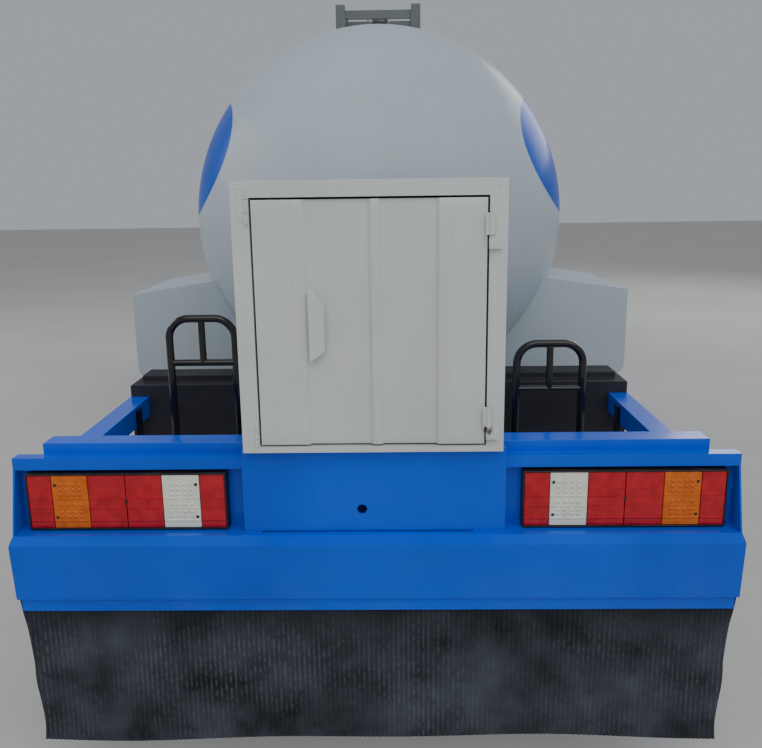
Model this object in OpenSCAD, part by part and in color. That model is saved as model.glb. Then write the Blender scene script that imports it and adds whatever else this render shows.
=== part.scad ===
// Gas delivery tanker truck: forward is +Y, right is +X and up is +Z.
// The origin is on the ground, under the middle of the vehicle.
// Stations along the vehicle are counted from the back of the rear apron.

/* [Vehicle] */
// Width over the rear apron
body_w = 2200; // [2000:10:2500]
// Distance between the front and the rear axle
wheelbase = 3950; // [3400:10:4800]
// Rear axle to the back of the apron
rear_overhang = 2350; // [2150:10:2700]
// Front axle to the front of the bumper
front_overhang = 1300; // [1250:10:1500]

/* [Wheels] */
// Radius of every tyre
tyre_r = 400; // [340:5:480]
// Width of one tyre
tyre_w = 215; // [180:5:250]
// Radius of the rim's seat in the tyre
rim_r = 225; // [200:5:260]
// Space between the twin tyres
twin_gap = 30; // [20:5:60]
// Greatest steering angle to each side
steer_max = 32; // [20:1:33]

/* [Frame] */
// Width over the two chassis rails
frame_w = 800; // [720:10:880]
// Height of a chassis rail
rail_h = 200; // [160:5:240]
// Width of a rail's flange
rail_flange = 70; // [50:5:80]
// Thickness of the rail's steel
rail_t = 8; // [6:1:12]
// Top of the rails above the tyres
rail_rise = 100; // [95:5:160]

/* [Tank] */
// Radius of the tank and of its round heads
tank_r = 800; // [640:10:880]
// Lowest line of the tank above the rails
tank_rise = 90; // [80:5:160]
// Back of the tank's head from the back of the apron
tank_start = 690; // [660:10:900]
// Space between the tank and the cab
tank_cab_gap = 210; // [150:10:400]

/* [Cab] */
// Length of the cab
cab_l = 1760; // [1600:10:2000]
// Height of the cab from its lower edge to its roof
cab_h = 1500; // [1350:10:1650]
// Thickness of the cab's walls and doors
cab_wall = 60; // [45:5:80]
// Space around a closed cab door
door_gap = 10; // [9:1:14]
// Length of a cab door
door_l = 940; // [800:10:980]
// Radius of the pivot that the cab tilts on
tilt_pin_r = 25; // [18:1:30]

/* [Rear cabinet] */
// Width of the valve cabinet
cabinet_w = 760; // [640:10:900]
// Height of the valve cabinet
cabinet_h = 776; // [620:4:940]
// Depth of the valve cabinet
cabinet_d = 580; // [420:10:600]
// Width of the frame around the cabinet's door
cabinet_frame = 50; // [35:1:70]
// Thickness of the cabinet's door
cabinet_door_t = 34; // [24:1:44]

/* [Rear apron] */
// Thickness of the apron's steel
apron_t = 6; // [4:1:10]
// Width of the raised middle panel
panel_w = 790; // [640:10:860]
// Radius of the hole in the middle panel
panel_hole_r = 15; // [8:1:24]
// Width of one tail lamp
lamp_w = 613; // [500:1:640]
// Height of one tail lamp
lamp_h = 180; // [140:1:184]
// Length of the rubber flap that shows
flap_drop = 450; // [300:10:480]

/* [Hidden] */
$fn = 96;

// Clearances
fit = 0.05;
seat = 0.3;
rod_play = 0.5;

// Stations along the vehicle, from the back of the apron
overall_l = rear_overhang + wheelbase + front_overhang;
rear_y = rear_overhang;
front_y = rear_overhang + wheelbase;

// Heights
axle_z = tyre_r;
rail_top = 2 * tyre_r + rail_rise;
rail_z = rail_top - rail_h;
rail_x = frame_w / 2;
flange_x = rail_x - rail_flange;

// Rear apron: its folds, as station and height
apron_back = 126;
apron_low = rail_top - 207;
bend_z = rail_top - 26;
recess_low = rail_top - 7;
recess_high = rail_top + 186;
recess_y = 84;
bar_top = rail_top + 224;
deck_top = rail_top + 258;
panel_y = 56;
hole_x = -36;
hole_z = rail_top + 66;
clamp_drop = 43;
flap_y = 28;
flap_t = 8;

// Deck behind the tank
deck_beam = 80;
side_rail_x = body_w / 2 - 169;
side_rail_w = 70;
side_rail_h = 73;
cross_box_y = 700;
stringer_x = cabinet_w / 2 - 80;
stringer_w = 60;

// Guard hoops
hoop_r = 13.5;
hoop_w = 258;
hoop_bend = 70;
hoop_y = 550;
hoop_bar = 40;
hoop_foot = deck_top - 140;
hoop_x = (side_rail_x - side_rail_w + stringer_x + stringer_w) / 2;

// Tank
tank_z = rail_top + tank_rise + tank_r;
tank_y0 = tank_start + tank_r;
cross_box_l = tank_y0 - sqrt(pow(tank_r, 2) - pow(tank_z - deck_top - 66, 2)) - cross_box_y - 30;
cab_front = overall_l - 140;
cab_rear = cab_front - cab_l;
tank_y1 = cab_rear - tank_cab_gap - tank_r;
fairing_y = tank_y0 - 320;
fairing_l = rear_y - tyre_r - fairing_y - 120;
fairing_x = body_w / 2 - 50;
fairing_low = rail_top + 223;

// Cab
cab_w = body_w - 150;
cab_x = cab_w / 2;
cab_z = rail_top;
cab_top = cab_z + cab_h;
belt_z = cab_z + 600;
floor_z = cab_z + 140;
floor_t = 40;
pivot_y = cab_front + 40;
pivot_z = cab_z - 110;
arm_x = rail_x + 30;
arm_t = 40;
arm_r = 50;
screen_lean = 170 / 900;
roof_in = 25;
door_front = cab_front - 190;
door_rear = door_front - door_l;
door_low = cab_z + 60;
door_high = cab_top - 120;
hinge_x = cab_x + 10;
hinge_r = 9;
hinge_pin_r = 5;
hinge_h = 70;
glass_t = 8;

// Front axle and steering
track_x = body_w / 2 - 215;
kingpin_x = track_x - 145;
kingpin_r = 20;
spindle_r = 40;
arm_back = 180;
tie_z = axle_z - 90;
tie_pin_r = 12;
guard_r = ceil(sqrt(pow(tyre_r, 2) + pow(track_x + tyre_w / 2 - kingpin_x, 2))) + 9;

// Rear axle
outer_x = body_w / 2 - 15 - tyre_w / 2;
inner_x = outer_x - tyre_w - twin_gap;
rear_spindle_r = 50;

// Cabinet
cabinet_y = 20;
cabinet_t = 12;
cabinet_x = cabinet_w / 2;
sill = 18;
cabinet_hinge_x = cabinet_x - cabinet_frame + 5;
cabinet_hinge_y = cabinet_y - 10;
cabinet_door_gap = 6;

module box(lo, hi) translate(lo) cube(hi - lo);
module from_rear() translate([0, -overall_l / 2, 0]) children();
module both_sides() {
  children();
  mirror([1, 0, 0]) children();
}
module along_x(x0, x1, y, z, r) translate([x0, y, z]) rotate([0, 90, 0]) cylinder(h = x1 - x0, r = r);
module along_y(y0, y1, x, z, r) translate([x, y1, z]) rotate([90, 0, 0]) cylinder(h = y1 - y0, r = r);
module along_z(z0, z1, x, y, r) translate([x, y, z0]) cylinder(h = z1 - z0, r = r);
// Plates that carry an outline drawn in station and height, width and height, or plan
module plate_x(x0, x1) translate([x0, 0, 0]) rotate([90, 0, 90]) linear_extrude(x1 - x0) children();
module plate_y(y0, y1) translate([0, y1, 0]) rotate([90, 0, 0]) linear_extrude(y1 - y0) children();
module plate_z(z0, z1) translate([0, 0, z0]) linear_extrude(z1 - z0) children();
module rounded_rect(w, h, r) {
  square([w - 2 * r, h], center = true);
  square([w, h - 2 * r], center = true);
  for (x = [-1, 1], y = [-1, 1]) translate([x * (w / 2 - r), y * (h / 2 - r)]) circle(r = r);
}

// ---------------------------------------------------------------- chassis

cross_tube_r = 40;
cross_tube_z = rail_top - rail_h / 2;
spring_half = 650;
spring_sag = 120;
front_spring_x = rail_x + 35;
rear_spring_x = rail_x + 70;
spring_w = 70;
hanger_l = 50;
outrigger_y = tank_y0 + 20;
cross_stations = [
  apron_back + 60, cross_box_y + 200, rear_y - 700, rear_y + 700, rear_y + 1900,
  front_y - 900, cab_front - 150
];
bracket_t = 40;
bracket_back = 60;
tow_r = 18;

// Blocks that close the springs' ends under the rails
module spring_hanger(y, x0, x1, z) {
  box([x0, y, z], [x1, y + hanger_l, rail_z + 60]);
}

// Both C-section rails
module frame_rails() {
  end_y = cab_front - bracket_back;
  color("#1b1c1e") from_rear() both_sides() difference() {
    box([flange_x, apron_back, rail_z], [rail_x, end_y, rail_top]);
    box([flange_x - 1, apron_back - 1, rail_z + rail_t], [rail_x - rail_t, end_y + 1, rail_top - rail_t]);
  }
}

// What is welded to the rails
module frame_fittings() {
  color("#1b1c1e") from_rear() {
    // Round tubes between the rails' webs
    for (y = cross_stations) along_x(-rail_x + rail_t, rail_x - rail_t, y, cross_tube_z, cross_tube_r);
    both_sides() {
      // Front bracket, which reaches the bumper, with its stub of the tilt pivot and its towing hole
      difference() {
        union() {
          box([rail_x - bracket_t, cab_front - bracket_back, rail_z], [rail_x, overall_l - 20, cab_z - 60]);
          along_x(rail_x - 20, arm_x + arm_t + 10, pivot_y, pivot_z, tilt_pin_r);
        }
        along_x(rail_x - bracket_t - 1, rail_x + 1, overall_l - 55, rail_z + 45, tow_r);
      }
      for (s = [-1, 1]) {
        spring_hanger(front_y + s * (spring_half + hanger_l / 2) - hanger_l / 2,
          rail_x, front_spring_x + spring_w / 2, axle_z + spring_sag - 20);
        spring_hanger(rear_y + s * (spring_half + hanger_l / 2) - hanger_l / 2,
          rail_x, rear_spring_x + spring_w / 2, axle_z + 60 + spring_sag - 20);
      }
      // Post under the deck
      box([flange_x, apron_back, rail_top], [rail_x, apron_back + deck_beam, deck_top - 100]);
      // Outrigger under the side fairing
      box([flange_x + 5, outrigger_y, rail_top], [rail_x, outrigger_y + 60, rail_top + 80]);
      box([flange_x + 5, outrigger_y, rail_top + 30], [fairing_x - 60, outrigger_y + 60, rail_top + 80]);
      box([fairing_x - 160, outrigger_y, rail_top + 79], [fairing_x - 60, outrigger_y + 60, fairing_low]);
      // Rear cab mount
      box([flange_x, cab_rear + 80, rail_top], [rail_x, cab_rear + 160, floor_z - 5]);
    }
  }
}

module leaf_spring(y, x, z, t) {
  r = (pow(spring_half, 2) + pow(spring_sag, 2)) / (2 * spring_sag);
  plate_x(x - spring_w / 2, x + spring_w / 2) intersection() {
    difference() {
      translate([y, z + r]) circle(r = r);
      translate([y, z + r]) circle(r = r - t);
    }
    translate([y - spring_half, z - 1]) square([2 * spring_half, spring_sag + t]);
  }
}

module leaf_springs() {
  color("#26272a") from_rear() both_sides() {
    leaf_spring(front_y, front_spring_x, axle_z, 50);
    leaf_spring(rear_y, rear_spring_x, axle_z + 60, 80);
  }
}

// ---------------------------------------------------------------- axles and steering

beam_h = 80;

module front_axle() {
  color("#222326") from_rear() difference() {
    union() {
      box([-kingpin_x + 80, front_y - 40, axle_z - beam_h], [kingpin_x - 80, front_y + 40, axle_z]);
      both_sides() {
        box([kingpin_x - 100, front_y - 28, axle_z - 36], [kingpin_x, front_y + 28, axle_z + 36]);
        along_z(axle_z - 36, axle_z + 36, kingpin_x, front_y, 36);
      }
    }
    both_sides() along_z(axle_z - 40, axle_z + 40, kingpin_x, front_y, kingpin_r + fit);
  }
}

// Fork, kingpin, spindle and steering arm of the right side
module knuckle_form() {
  ear_z0 = 41;
  ear_z1 = 71;
  for (z = [-ear_z1, ear_z0]) {
    along_z(axle_z + z, axle_z + z + ear_z1 - ear_z0, kingpin_x, front_y, 34);
    box([kingpin_x, front_y - 34, axle_z + z], [kingpin_x + 50, front_y + 34, axle_z + z + ear_z1 - ear_z0]);
  }
  box([kingpin_x + 41, front_y - 55, axle_z - ear_z1], [kingpin_x + 57, front_y + 55, axle_z + ear_z1]);
  along_z(axle_z - ear_z1, axle_z + ear_z1, kingpin_x, front_y, kingpin_r);
  along_x(kingpin_x + 50, track_x + 65, front_y, axle_z, spindle_r);
  box([kingpin_x - 15, front_y - arm_back, axle_z - ear_z1], [kingpin_x + 15, front_y, axle_z - ear_z1 + 20]);
  along_z(axle_z - ear_z1, axle_z - ear_z1 + 20, kingpin_x, front_y - arm_back, 22);
  along_z(tie_z - 20, axle_z - ear_z1 + 1, kingpin_x, front_y - arm_back, tie_pin_r);
}

module knuckle_right() color("#2c2e31") from_rear() knuckle_form();
module knuckle_left() color("#2c2e31") from_rear() mirror([1, 0, 0]) knuckle_form();

module tie_rod() {
  y = front_y - arm_back;
  color("#2c2e31") from_rear() difference() {
    union() {
      along_x(-kingpin_x, kingpin_x, y, tie_z, 12);
      both_sides() along_z(tie_z - 14, tie_z + 14, kingpin_x, y, 22);
    }
    along_z(tie_z - 15, tie_z + 15, -kingpin_x, y, tie_pin_r + fit);
    along_z(tie_z - 15, tie_z + 15, kingpin_x, y, tie_pin_r + rod_play);
  }
}

diff_r = 165;
axle_tube_r = 54;

module rear_axle() {
  color("#222326") from_rear() {
    along_x(-inner_x + tyre_w / 2 + 50, inner_x - tyre_w / 2 - 50, rear_y, axle_z, axle_tube_r);
    // Round differential housing with its cover and its nose
    along_y(rear_y - 95, rear_y + 90, 0, axle_z, diff_r);
    along_y(rear_y - 130, rear_y - 94, 0, axle_z, diff_r - 45);
    along_y(rear_y + 89, rear_y + diff_r + 40, 0, axle_z, 85);
    along_x(-outer_x + 10, outer_x - 10, rear_y, axle_z, rear_spindle_r);
    both_sides()
      box([rear_spring_x - 30, rear_y - 62, axle_z + 15], [rear_spring_x + 30, rear_y + 60, axle_z + 60]);
  }
}

shaft_r = 42;
gearbox_rear = front_y - 400;
gearbox_z = rail_z - 110;

module drive_shaft() {
  y0 = rear_y + diff_r + 40;
  dy = gearbox_rear - y0;
  dz = gearbox_z - axle_z;
  color("#3a3c40") from_rear() difference() {
    union() {
      translate([0, y0, axle_z]) rotate([-90 + atan2(dz, dy), 0, 0])
        translate([0, 0, -40]) cylinder(h = norm([dy, dz]) + 80, r = shaft_r);
      along_y(y0, y0 + 30, 0, axle_z, 65);
      along_y(gearbox_rear - 30, gearbox_rear, 0, gearbox_z, 65);
    }
    box([-100, y0 - 200, axle_z - 200], [100, y0, axle_z + 200]);
    box([-100, gearbox_rear, gearbox_z - 200], [100, gearbox_rear + 200, gearbox_z + 200]);
  }
}

// ---------------------------------------------------------------- wheels

// Section of one tyre on its rim barrel: x is the radius, y runs across the wheel
module tyre_section() {
  translate([(tyre_r + rim_r) / 2, 0]) rounded_rect(tyre_r - rim_r, tyre_w, 34);
  translate([rim_r - 20, -tyre_w / 2 + 12]) square([40, tyre_w - 24]);
}

module turned() rotate([0, 90, 0]) rotate_extrude() children();

// Front wheel of the right side, about its own centre
module front_wheel_form() {
  difference() {
    turned() {
      tyre_section();
      translate([70, 12]) square([rim_r - 60, 12]);
      translate([0, -20]) square([95, 95]);
      translate([0, 75]) square([75, 22]);
      translate([95, -75]) square([75, 87]);
      translate([70, -20]) square([60, 32]);
    }
    along_x(-100, 70, 0, 0, spindle_r + fit);
  }
}

// Twin rear wheels of the right side, about the outer tyre's centre
module rear_wheels_form() {
  mid = -(tyre_w + twin_gap) / 2;
  difference() {
    turned() {
      tyre_section();
      translate([0, 2 * mid]) tyre_section();
      translate([60, mid - 30]) square([rim_r - 50, 60]);
      // The drum's inner face stands 20 mm off the axle tube's end
      translate([rim_r - 55, 2 * mid - tyre_w / 2]) square([15, tyre_w]);
      translate([60, mid - 60]) square([rim_r - 110, 50]);
      translate([rim_r - 60, mid - 60]) square([20, 50]);
      translate([0, mid - 60]) square([95, 170]);
      translate([0, mid + 110]) square([80, 24]);
      translate([0, 10]) square([60, 20]);
    }
    along_x(3 * mid, 0, 0, 0, rear_spindle_r + fit);
  }
}

module front_wheel_right() color("#17181a") from_rear()
  translate([track_x, front_y, axle_z]) front_wheel_form();
module front_wheel_left() color("#17181a") from_rear() mirror([1, 0, 0])
  translate([track_x, front_y, axle_z]) front_wheel_form();
module rear_wheels_right() color("#17181a") from_rear()
  translate([outer_x, rear_y, axle_z]) rear_wheels_form();
module rear_wheels_left() color("#17181a") from_rear() mirror([1, 0, 0])
  translate([outer_x, rear_y, axle_z]) rear_wheels_form();

// ---------------------------------------------------------------- running gear

module engine_block() {
  color("#4b4f54") from_rear() {
    box([-280, front_y + 60, axle_z + 110], [280, cab_front - 230, rail_top + 100]);
    box([-170, gearbox_rear, rail_z - 190], [170, front_y + 61, rail_z + 60]);
    both_sides() box([279, front_y + 500, rail_z + 30], [flange_x, front_y + 620, rail_top + 10]);
  }
}

tank_box_w = 500;
tank_box_h = 460;

module fuel_tank() {
  x = rail_x + 30 + tank_box_w / 2;
  color("#8c9196") from_rear() mirror([1, 0, 0]) {
    translate([x, 0, rail_z - 60]) plate_y(rear_y + 1250, rear_y + 2150)
      rounded_rect(tank_box_w, tank_box_h, 90);
    for (y = [rear_y + 1400, rear_y + 1950])
      box([rail_x, y, rail_z], [rail_x + 120, y + 60, rail_top - 40]);
    along_z(rail_z + 100, rail_z + 210, x, rear_y + 1900, 45);
  }
}

air_tank_y = rear_y + 1150;

module air_tanks() {
  color("#1d1f22") from_rear() for (x = [rail_x + 190, rail_x + 470]) {
    along_y(air_tank_y, air_tank_y + 800, x, rail_z - 20, 120);
    for (y = [air_tank_y + 120, air_tank_y + 620])
      box([rail_x, y, rail_z + 80], [x + 40, y + 50, rail_z + 120]);
  }
}

module battery_box() {
  y = rear_y + 2330;
  color("#25272a") from_rear() {
    box([rail_x + 20, y, rail_z - 180], [rail_x + 560, y + 520, rail_z + 110]);
    box([rail_x, y + 40, rail_z + 20], [rail_x + 21, y + 480, rail_z + 100]);
    box([rail_x + 10, y - 10, rail_z + 110], [rail_x + 570, y + 530, rail_z + 128]);
  }
}

silencer_x = -(rail_x + 190);
silencer_y = rear_y + 2400;
pipe_r = 38;
pipe_z = rail_z - 90;

// Round pipe through the given points, which share one height
module pipe_run(points, r) {
  // The bends stand a little proud, as welded elbows do
  for (p = points) translate(p) sphere(r = r + 4);
  for (i = [0 : len(points) - 2]) {
    d = points[i + 1] - points[i];
    translate(points[i]) rotate([0, 90, atan2(d[1], d[0])]) cylinder(h = norm(d), r = r);
  }
}
down_pipe_x = -230;

module exhaust() {
  x = silencer_x;
  y1 = silencer_y + 620;
  color("#6f6a63") from_rear() {
    along_y(silencer_y, y1, x, pipe_z, 125);
    pipe_run([[x, silencer_y + 20, pipe_z], [x, silencer_y - 110, pipe_z],
      [x - 330, silencer_y - 180, pipe_z]], pipe_r);
    pipe_run([[x, y1 - 20, pipe_z], [x, y1 + 60, pipe_z], [down_pipe_x, y1 + 150, pipe_z],
      [down_pipe_x, front_y + 55 - pipe_r, pipe_z]], pipe_r);
    // Hangers to the rail
    for (y = [silencer_y + 100, silencer_y + 480])
      box([x - 30, y, pipe_z + 100], [-rail_x, y + 40, pipe_z + 140]);
  }
}

bracket_h = 40;

module side_guards() {
  y0 = rear_y + tyre_r + 90;
  y1 = front_y - guard_r - 80;
  x = body_w / 2 - 70;
  // The first post stands before the rear spring's hanger, or behind it where the tyre leaves no room
  hanger_y = rear_y + spring_half;
  first_y = y0 + 110 <= hanger_y ? y0 + 60 : hanger_y + hanger_l + 10;
  post_ys = [first_y, rear_y + 2230, y1 - 60];
  color("#e6e8ea") from_rear() both_sides() {
    for (z = [axle_z + 60, axle_z + 300]) box([x, y0, z], [x + 26, y1, z + 90]);
    for (y = post_ys) {
      box([x - 40, y, axle_z + 40], [x, y + 40, axle_z + 400]);
      box([rail_x, y, axle_z + 355], [x - 39, y + 40, axle_z + 355 + bracket_h]);
    }
  }
}

module mudguard_arc(y, r, t, x0, x1, low) {
  plate_x(x0, x1) difference() {
    translate([y, axle_z]) circle(r = r + t);
    translate([y, axle_z]) circle(r = r);
    translate([y - 2 * r, axle_z - 2 * r]) square([4 * r, 2 * r + low]);
  }
}

module rear_mudguards() {
  r = tyre_r + 40;
  color("#1c1d1f") from_rear() both_sides() {
    mudguard_arc(rear_y, r, 10, inner_x - tyre_w / 2 - 20, body_w / 2 - 4, 90);
    box([rail_x, rear_y - 40, axle_z + r + 5], [outer_x, rear_y + 40, axle_z + r + 18]);
  }
}

step_z = axle_z + 40;

module front_mudguards() {
  y0 = front_y + guard_r + 25;
  y1 = cab_front - 70;
  x0 = track_x - tyre_w / 2;
  color("#1c1d1f") from_rear() both_sides() {
    mudguard_arc(front_y, guard_r, 8, x0, cab_x + 5, 30);
    box([rail_x, front_y - 40, axle_z + guard_r + 4], [track_x, front_y + 40, rail_top - 5]);
    // Step box ahead of the wheel
    difference() {
      box([x0, y0, step_z], [cab_x + 5, y1, rail_top - 30]);
      box([x0 + 30, y0 + 30, step_z + 30], [cab_x + 6, y1 - 30, step_z + 210]);
      box([x0 + 30, y0 + 30, step_z + 240], [cab_x + 6, y1 - 30, rail_top - 60]);
    }
    box([rail_x, y0 + 200, rail_z + 60], [x0 + 1, y0 + 260, rail_z + 120]);
    // Stay between the arc and the step box
    box([x0, front_y + guard_r + 2, axle_z + 45], [x0 + 120, y0 + 1, axle_z + 85]);
  }
}

// ---------------------------------------------------------------- front bumper

bumper_t = 20;
bumper_w = cab_w + 50;
bumper_low = axle_z + 20;
bumper_high = cab_z - 30;
bumper_r = 90;
bumper_l = 400;
head_x0 = bumper_w / 2 - 430;
head_x1 = bumper_w / 2 - 110;
head_z0 = rail_z - 100;
head_z1 = rail_z + 70;

module front_bumper() {
  color("#1f5fb4") from_rear() difference() {
    plate_z(bumper_low, bumper_high) difference() {
      translate([0, overall_l - bumper_l / 2]) rounded_rect(bumper_w, bumper_l, bumper_r);
      translate([0, overall_l - bumper_l / 2])
        rounded_rect(bumper_w - 2 * bumper_t, bumper_l - 2 * bumper_t, bumper_r - bumper_t);
      translate([-bumper_w, overall_l - bumper_l - 1]) square([2 * bumper_w, bumper_l / 2 + 1]);
    }
    both_sides() box([head_x0, overall_l - 30, head_z0], [head_x1, overall_l + 1, head_z1]);
    box([-360, overall_l - 30, bumper_low + 45], [360, overall_l + 1, bumper_low + 135]);
  }
}

module headlamps() {
  color("#dfe6ea") from_rear() both_sides() {
    box([head_x0 + seat, overall_l - 60, head_z0 + seat], [head_x1 - seat, overall_l - 4, head_z1 - seat]);
    box([head_x0 - 20, overall_l - 80, head_z0 - 20], [head_x1 + 20, overall_l - bumper_t - 2, head_z1 + 20]);
  }
}

// ---------------------------------------------------------------- tank

module tank_form(r) {
  along_y(tank_y0, tank_y1, 0, tank_z, r);
  for (y = [tank_y0, tank_y1]) translate([0, y, tank_z]) sphere(r = r);
}

nozzle_r = 46;
nozzle_y = tank_start - 12;

// The nozzles on the rear head end in flat faces, where the cabinet's pipes start
module tank() {
  color("#dfe2e4") from_rear() {
    tank_form(tank_r);
    for (p = pipe_places) along_y(nozzle_y, tank_y0, p[0], deck_top + p[1], nozzle_r);
  }
}

saddle_t = 50;
saddle_x = rail_x + 30;
saddle_top = tank_z - sqrt(pow(tank_r, 2) - pow(saddle_x, 2));
saddle_ys = [tank_y0 + 180, (tank_y0 + tank_y1) / 2, tank_y1 - 180];

module tank_saddles() {
  color("#2f3135") from_rear() difference() {
    for (y = saddle_ys) {
      box([-saddle_x, y, rail_top], [saddle_x, y + saddle_t, saddle_top]);
      both_sides() box([flange_x, y - 60, rail_top], [rail_x, y + saddle_t + 60, rail_top + 30]);
    }
    tank_form(tank_r + seat);
  }
}

valve_y = tank_y0 + 510;
guard_w = 400;
guard_l = 300;
guard_h = 170;
guard_post = 44;

module valve_guard() {
  top = tank_z + tank_r + guard_h;
  color("#8b8f92") from_rear() difference() {
    union() {
      for (x = [-1, 1], y = [-1, 1]) {
        cx = x * (guard_w - guard_post) / 2;
        cy = valve_y + y * (guard_l - guard_post) / 2;
        box([cx - guard_post / 2, cy - guard_post / 2, top - guard_h - 60],
          [cx + guard_post / 2, cy + guard_post / 2, top]);
      }
      for (y = [-1, 1]) translate([0, valve_y + y * (guard_l - guard_post) / 2, 0])
        box([-guard_w / 2 + 10, -12, top - 62], [guard_w / 2 - 10, 12, top - 24]);
      for (x = [-1, 1]) translate([x * (guard_w - guard_post) / 2, valve_y, 0])
        box([-12, -guard_l / 2 + 10, top - 62], [12, guard_l / 2 - 10, top - 24]);
    }
    tank_form(tank_r + seat);
  }
}

manhole_r = 270;
manhole_y = (tank_y0 + tank_y1) / 2;
manhole_pcd = 470;
manhole_bolts = 16;

module about_manhole(a) translate([0, manhole_y, 0]) rotate(a) translate([0, -manhole_y, 0]) children();

module top_valves() {
  top = tank_z + tank_r;
  color("#b4b8bb") from_rear() difference() {
    union() {
      along_z(top - 80, top + 60, 0, manhole_y, manhole_r - 70);
      along_z(top + 40, top + 75, 0, manhole_y, manhole_r);
      // Relief valve inside the guard
      along_z(top - 30, top + 40, 0, valve_y, 70);
      along_z(top + 39, top + 130, 0, valve_y, 40);
      along_z(top + 110, top + 140, 0, valve_y, 55);
    }
    for (i = [0 : manhole_bolts - 1]) about_manhole(i * 360 / manhole_bolts)
      along_z(top + 30, top + 90, manhole_pcd / 2, manhole_y, 9);
    tank_form(tank_r + seat);
  }
}

// White boxes that fill the corners between the tank and the deck
module side_fairings() {
  slope = 49 / 330;
  top = rail_top + 586;
  round_r = 40;
  x0 = rail_x + 40;
  color("#dfe2e4") from_rear() both_sides() difference() {
    plate_y(fairing_y, fairing_y + fairing_l) {
      polygon([[x0, fairing_low], [fairing_x - round_r, fairing_low],
        [fairing_x - round_r, fairing_low + round_r], [fairing_x, fairing_low + round_r],
        [fairing_x, top], [x0, top + slope * (fairing_x - x0)]]);
      translate([fairing_x - round_r, fairing_low + round_r]) circle(r = round_r);
    }
    tank_form(tank_r + seat);
  }
}

// ---------------------------------------------------------------- rear end

module rear_apron() {
  x = body_w / 2;
  t = apron_t;
  lamp_x0 = panel_w / 2;
  color("#0b5cc0") from_rear() difference() {
    union() {
      // Closed lower beam with its bend
      plate_x(-x, x) difference() {
        polygon([[12, apron_low], [0, bend_z], [34, recess_low],
          [apron_back, recess_low], [apron_back, apron_low]]);
        polygon([[12 + t, apron_low + t], [t, bend_z], [34 + t / 2, recess_low - t],
          [apron_back - t, recess_low - t], [apron_back - t, apron_low + t]]);
      }
      // Back wall of the lamp recesses, top bar and cheeks
      box([-x, apron_back - t, recess_low - 1], [x, apron_back, bar_top]);
      box([-x, recess_y, recess_high], [x, apron_back, bar_top]);
      for (s = [-x, x - t]) plate_x(s, s + t)
        polygon([[34, recess_low - 1], [recess_y, recess_high + 1],
          [apron_back, recess_high + 1], [apron_back, recess_low - 1]]);
      // Raised middle panel with its returns
      box([-lamp_x0, panel_y, recess_low - 1], [lamp_x0, panel_y + t, deck_top - 3]);
      for (s = [-lamp_x0, lamp_x0 - t]) box([s, panel_y, recess_low - 1], [s + t, apron_back, bar_top]);
      box([-lamp_x0, panel_y, deck_top - 3 - t], [lamp_x0, apron_back, deck_top - 3]);
      // Clamp for the flap
      box([-x + 10, flap_y - t, apron_low - clamp_drop], [x - 10, flap_y, apron_low + t]);
      box([-x + 10, flap_y + flap_t, apron_low - clamp_drop], [x - 10, flap_y + flap_t + t, apron_low + 1]);
    }
    // Hole in the middle panel and drain slot under it
    along_y(panel_y - 1, panel_y + t + 1, hole_x, hole_z, panel_hole_r);
    box([-343, panel_y - 1, recess_low], [300, panel_y + t + 1, recess_low + 4]);
  }
}

module tail_lamps() {
  lamp_x = body_w / 2 - 38 - lamp_w;
  z0 = recess_low + 4;
  color("#a01818") from_rear() both_sides() {
    box([lamp_x, recess_y - 14, z0], [lamp_x + lamp_w, apron_back - apron_t, z0 + lamp_h]);
  }
}

module mud_flap() {
  color("#2a2b2b") from_rear()
    box([-body_w / 2, flap_y, apron_low - clamp_drop - flap_drop],
      [body_w / 2, flap_y + flap_t, apron_low - seat]);
}

module deck_frame() {
  y0 = apron_back;
  y1 = apron_back + deck_beam;
  z0 = deck_top - side_rail_h;
  color("#0b5cc0") from_rear() {
    box([-side_rail_x - 89, y0, deck_top - 100], [side_rail_x + 89, y1, deck_top]);
    both_sides() {
      box([side_rail_x - side_rail_w, y1 - 1, z0], [side_rail_x, cross_box_y, deck_top]);
      box([stringer_x, y1 - 1, z0], [stringer_x + stringer_w, cross_box_y, deck_top]);
    }
  }
}

module cross_box() {
  x = side_rail_x;
  color("#141516") from_rear() {
    box([-x, cross_box_y, rail_top], [x, cross_box_y + cross_box_l, deck_top + 42]);
    box([-x + 30, cross_box_y + 60, deck_top + 41], [x - 30, cross_box_y + cross_box_l - 20, deck_top + 66]);
  }
}

module hoop(x, top, bar_z) {
  w = hoop_w / 2 - hoop_r;
  z1 = top - hoop_r;
  along_z(hoop_foot - 1, z1 - hoop_bend, x - w, hoop_y, hoop_r);
  along_z(hoop_foot - 1, z1 - hoop_bend, x + w, hoop_y, hoop_r);
  along_x(x - w + hoop_bend, x + w - hoop_bend, hoop_y, z1, hoop_r);
  for (s = [0, 1]) translate([x, hoop_y, z1 - hoop_bend]) mirror([s, 0, 0]) translate([w - hoop_bend, 0, 0])
    rotate([90, 0, 0]) rotate_extrude(angle = 90) translate([hoop_bend, 0]) circle(r = hoop_r);
  along_x(x - w, x + w, hoop_y, bar_z, hoop_r - 1.5);
  along_z(bar_z, z1, x, hoop_y, hoop_r - 1.5);
}

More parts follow.
